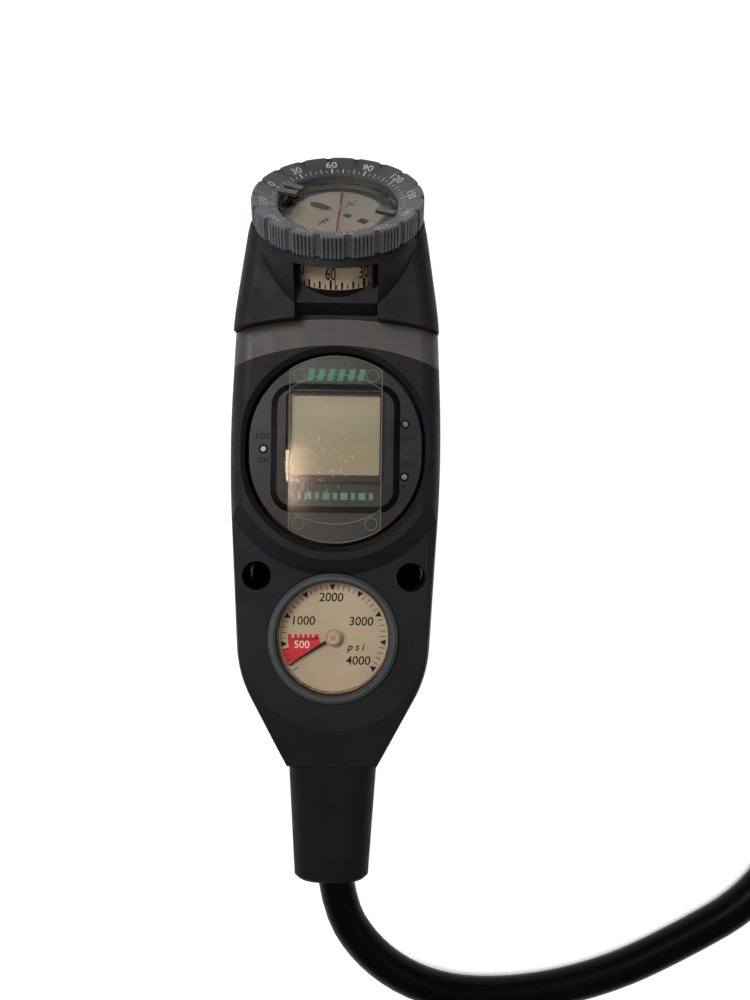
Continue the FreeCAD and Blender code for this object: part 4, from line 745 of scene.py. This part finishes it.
def guard_scratches():
    """Fine curved scratches over the plate, thickest towards its left: real wear, drawn as pale warm lines that are
    painted highlights.
    """
    rng = random.Random(7)
    lines = Marks()
    for _ in range(170):
        x = rng.triangular(-17, 8, -16)
        y = rng.triangular(-21, 10, -9)
        turn = rng.gauss(25, 30)
        length = rng.uniform(0.3, 1.5)
        bend = rng.uniform(-0.15, 0.15)
        points = []
        for k in range(5):
            along = length * (k / 4 - 0.5)
            px, py = turned_by(turn + 90, along, bend * along * along)
            points.append((max(-17, min(17, x + px)), max(-22, min(22, y + py))))
        lines.line(points, rng.uniform(0.05, 0.12))
    lines.lay("guard_scratches", flat_at(computer, guard_top), scratch_painted_highlight, "guard",
              thickness=0.01)


def green_bars():
    """Plain bars in sea green on the cover: a slanted row over the window and a stepped row under it."""
    pitch = 3.8
    count = 6
    top = Marks()
    for k in range(count):
        x = pitch * (k - (count - 1) / 2)
        top.shape([(x - 1.6, 25.8), (x + 0.6, 25.8), (x + 1.7, 30.2), (x - 0.5, 30.2)])
    top.lay("cover_bars_top", flat_at(computer, cover_level), marks_green, "console")
    foot = Marks()
    x = -14.0
    for k in range(9):
        width = 2.6 if k % 2 else 1.5
        foot.bar(x + width / 2, -17.4, width, 2.6)
        x += width + 1.3
    foot.lay("cover_bars_foot", flat_at(computer, window_level), marks_green, "console")


def frosted_glint(name, code, cover):
    """Polycarbonate where it is cut or scratched, drawn as a pale, partly see-through film: a painted highlight where
    light catches it.
    """
    return Finish(name).set(Base_Color=linear(code), Roughness=0.5, Alpha=cover).material


# Painted highlights: pale lines on the guard's cut edges, and pale warm lines on its scratches.
edge_painted_highlight = frosted_glint("polycarbonate_edge_painted_highlight", "#a5a298", 0.6)
scratch_painted_highlight = frosted_glint("polycarbonate_scratch", "#efe3cc", 0.7)

ribbed_bezel()
bezel_scale()
card_marks()
lubber_line()
dial_marks()
cover_words()
green_bars()
guard_edges()
guard_scratches()


# Hose: one line from the ferrule in the sleeve to the ferrule on the port fitting

hose_radius = 6.9
floor = hose_radius + 0.1
hose_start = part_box("gauge_end_ferrule")[0].y / MM
line_height = 16.5
coil_level = hose_radius + 1.5
coil_centre = (259.7, -123.3)
coil_radius = 70.0
coil_turns = 1.3
coil_start_angle = 157.5
coil_points_per_turn = 24
coil_climb = (0.38, 0.9)
coil_layer = 2 * hose_radius + 0.5
coil_end_lift = 2.4
coil_entry_run = 30.0

free_route = [
    (0, hose_start, line_height), (0, hose_start - 32.5, line_height), (15.2, -172.6, floor + 5.5),
    (42.6, -188.7, floor + 0.8), (78.0, -188.9, floor), (111.0, -180.4, floor), (139.0, -166.5, floor),
    (166.0, -150.5, floor + 0.4),
]


def smooth(share):
    share = min(max(share, 0.0), 1.0)
    return share * share * (3 - 2 * share)


def coil_point(turn):
    angle = math.radians(coil_start_angle - 360 * turn)
    climb = smooth((turn - coil_climb[0]) / (coil_climb[1] - coil_climb[0]))
    lift = smooth((turn - coil_climb[1]) / (coil_turns - coil_climb[1]))
    height = coil_level + coil_layer * climb + coil_end_lift * lift
    return (coil_centre[0] + coil_radius * math.cos(angle), coil_centre[1] + coil_radius * math.sin(angle), height)


def hose_curve():
    steps = round(coil_turns * coil_points_per_turn)
    join = coil_point(0.0)
    entry = math.radians(coil_start_angle)
    before = (join[0] - coil_entry_run * math.sin(entry), join[1] + coil_entry_run * math.cos(entry), join[2])
    points = free_route + [before] + [coil_point(coil_turns * k / steps) for k in range(steps + 1)]
    data = bpy.data.curves.new("gauge_hose", "CURVE")
    data.dimensions = "3D"
    line = data.splines.new("NURBS")
    line.points.add(len(points) - 1)
    for control, point in zip(line.points, points):
        control.co = tuple(c * MM for c in point) + (1.0,)
    line.order_u = 3
    line.use_endpoint_u = True
    line.resolution_u = 6
    data.bevel_depth = hose_radius * MM
    data.bevel_resolution = 7
    data.use_fill_caps = True
    data.materials.append(hose_rubber)
    made = bpy.data.objects.new("gauge_hose", data)
    bpy.context.scene.collection.objects.link(made)
    return made


gauge_hose = hose_curve()
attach(gauge_hose, "hose_line")
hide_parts("hose", "hose_coil")


# Camera, floor and light

camera_height = 0.475
camera_place = (0.0151, 0.0065)
console_lean = 0.74


def studio():
    data = bpy.data.cameras.new("camera")
    data.lens = 42.48
    data.sensor_width = 36.0
    camera = bpy.data.objects.new("camera", data)
    camera.location = (*camera_place, camera_height)
    camera.rotation_euler = (0, 0, math.radians(console_lean))
    bpy.context.scene.collection.objects.link(camera)
    bpy.context.scene.camera = camera

    mesh = bpy.data.meshes.new("floor")
    half = 1.6
    mesh.from_pydata([(-half, -half, 0), (half, -half, 0), (half, half, 0), (-half, half, 0)], [], [(0, 1, 2, 3)])
    ground = bpy.data.objects.new("floor", mesh)
    bpy.context.scene.collection.objects.link(ground)
    f = Finish("paper_white")
    f.set(Roughness=0.9, Specular_IOR_Level=0.0)
    rays = f.node("ShaderNodeLightPath").outputs
    seen = f.math("MAXIMUM", rays["Is Camera Ray"], rays["Is Glossy Ray"])
    seen = f.math("MAXIMUM", seen, rays["Is Transmission Ray"])
    # Painted shade: ambient occlusion cuts the floor's glow and darkens its colour to near black where the console
    # hides it, in the clip holes and along its foot.
    openness_for_painted_shade = f.node("ShaderNodeAmbientOcclusion", {"Distance": 0.03}, samples=12).outputs["AO"]
    openness_for_painted_shade = f.range(openness_for_painted_shade, 0.25, 0.4, 0.0, 1.0)
    lit = f.math("MULTIPLY", seen, openness_for_painted_shade)
    f.set(Emission_Color=(1, 1, 1, 1), Emission_Strength=lit,
          Base_Color=f.mix(openness_for_painted_shade, linear("#020202"), linear("#8c8c8c")))
    mesh.materials.append(f.material)

    glint_height = 0.4867

    def lamp(name, place, size, power, colour, length=None):
        """Round lamp aimed at the console or, with a length, a strip that faces straight down."""
        light = bpy.data.lights.new(name, "AREA")
        light.shape = "RECTANGLE" if length else "DISK"
        light.size = size
        if length:
            light.size_y = length
        light.energy = power
        light.color = linear(colour)[:3]
        made = bpy.data.objects.new(name, light)
        made.location = place
        if not length:
            made.rotation_euler = (-Vector(place)).to_track_quat("-Z", "Y").to_euler()
        bpy.context.scene.collection.objects.link(made)

    lamp("key", (-0.38, 0.3, 1.0), 0.36, 4.9, "#fbf9f6")
    lamp("fill", (0.6, -0.1, 0.8), 0.5, 0.7, "#fff0e2")
    lamp("sky_low_left", (-0.7, 0.0, 0.3), 0.3, 0.8, "#cfdcff")
    lamp("glint_bright", (-0.050, 0.0232, glint_height), 0.006, 0.035, "#ffdcc0", 0.04)
    lamp("glint_soft", (-0.045, 0.0232, glint_height), 0.016, 0.01, "#e8c0a4", 0.045)
    world = bpy.data.worlds.new("soft_room")
    world.use_nodes = True
    sky = world.node_tree.nodes["Background"]
    sky.inputs["Color"].default_value = linear("#f2f4f8")
    strength = world.node_tree.nodes.new("ShaderNodeMapRange")
    strength.inputs["To Min"].default_value = 0.2
    strength.inputs["To Max"].default_value = 1.1
    rays = world.node_tree.nodes.new("ShaderNodeLightPath")
    world.node_tree.links.new(rays.outputs["Is Camera Ray"], strength.inputs["Value"])
    world.node_tree.links.new(strength.outputs["Result"], sky.inputs["Strength"])
    bpy.context.scene.world = world
    bpy.context.scene.view_settings.view_transform = "Standard"


studio()
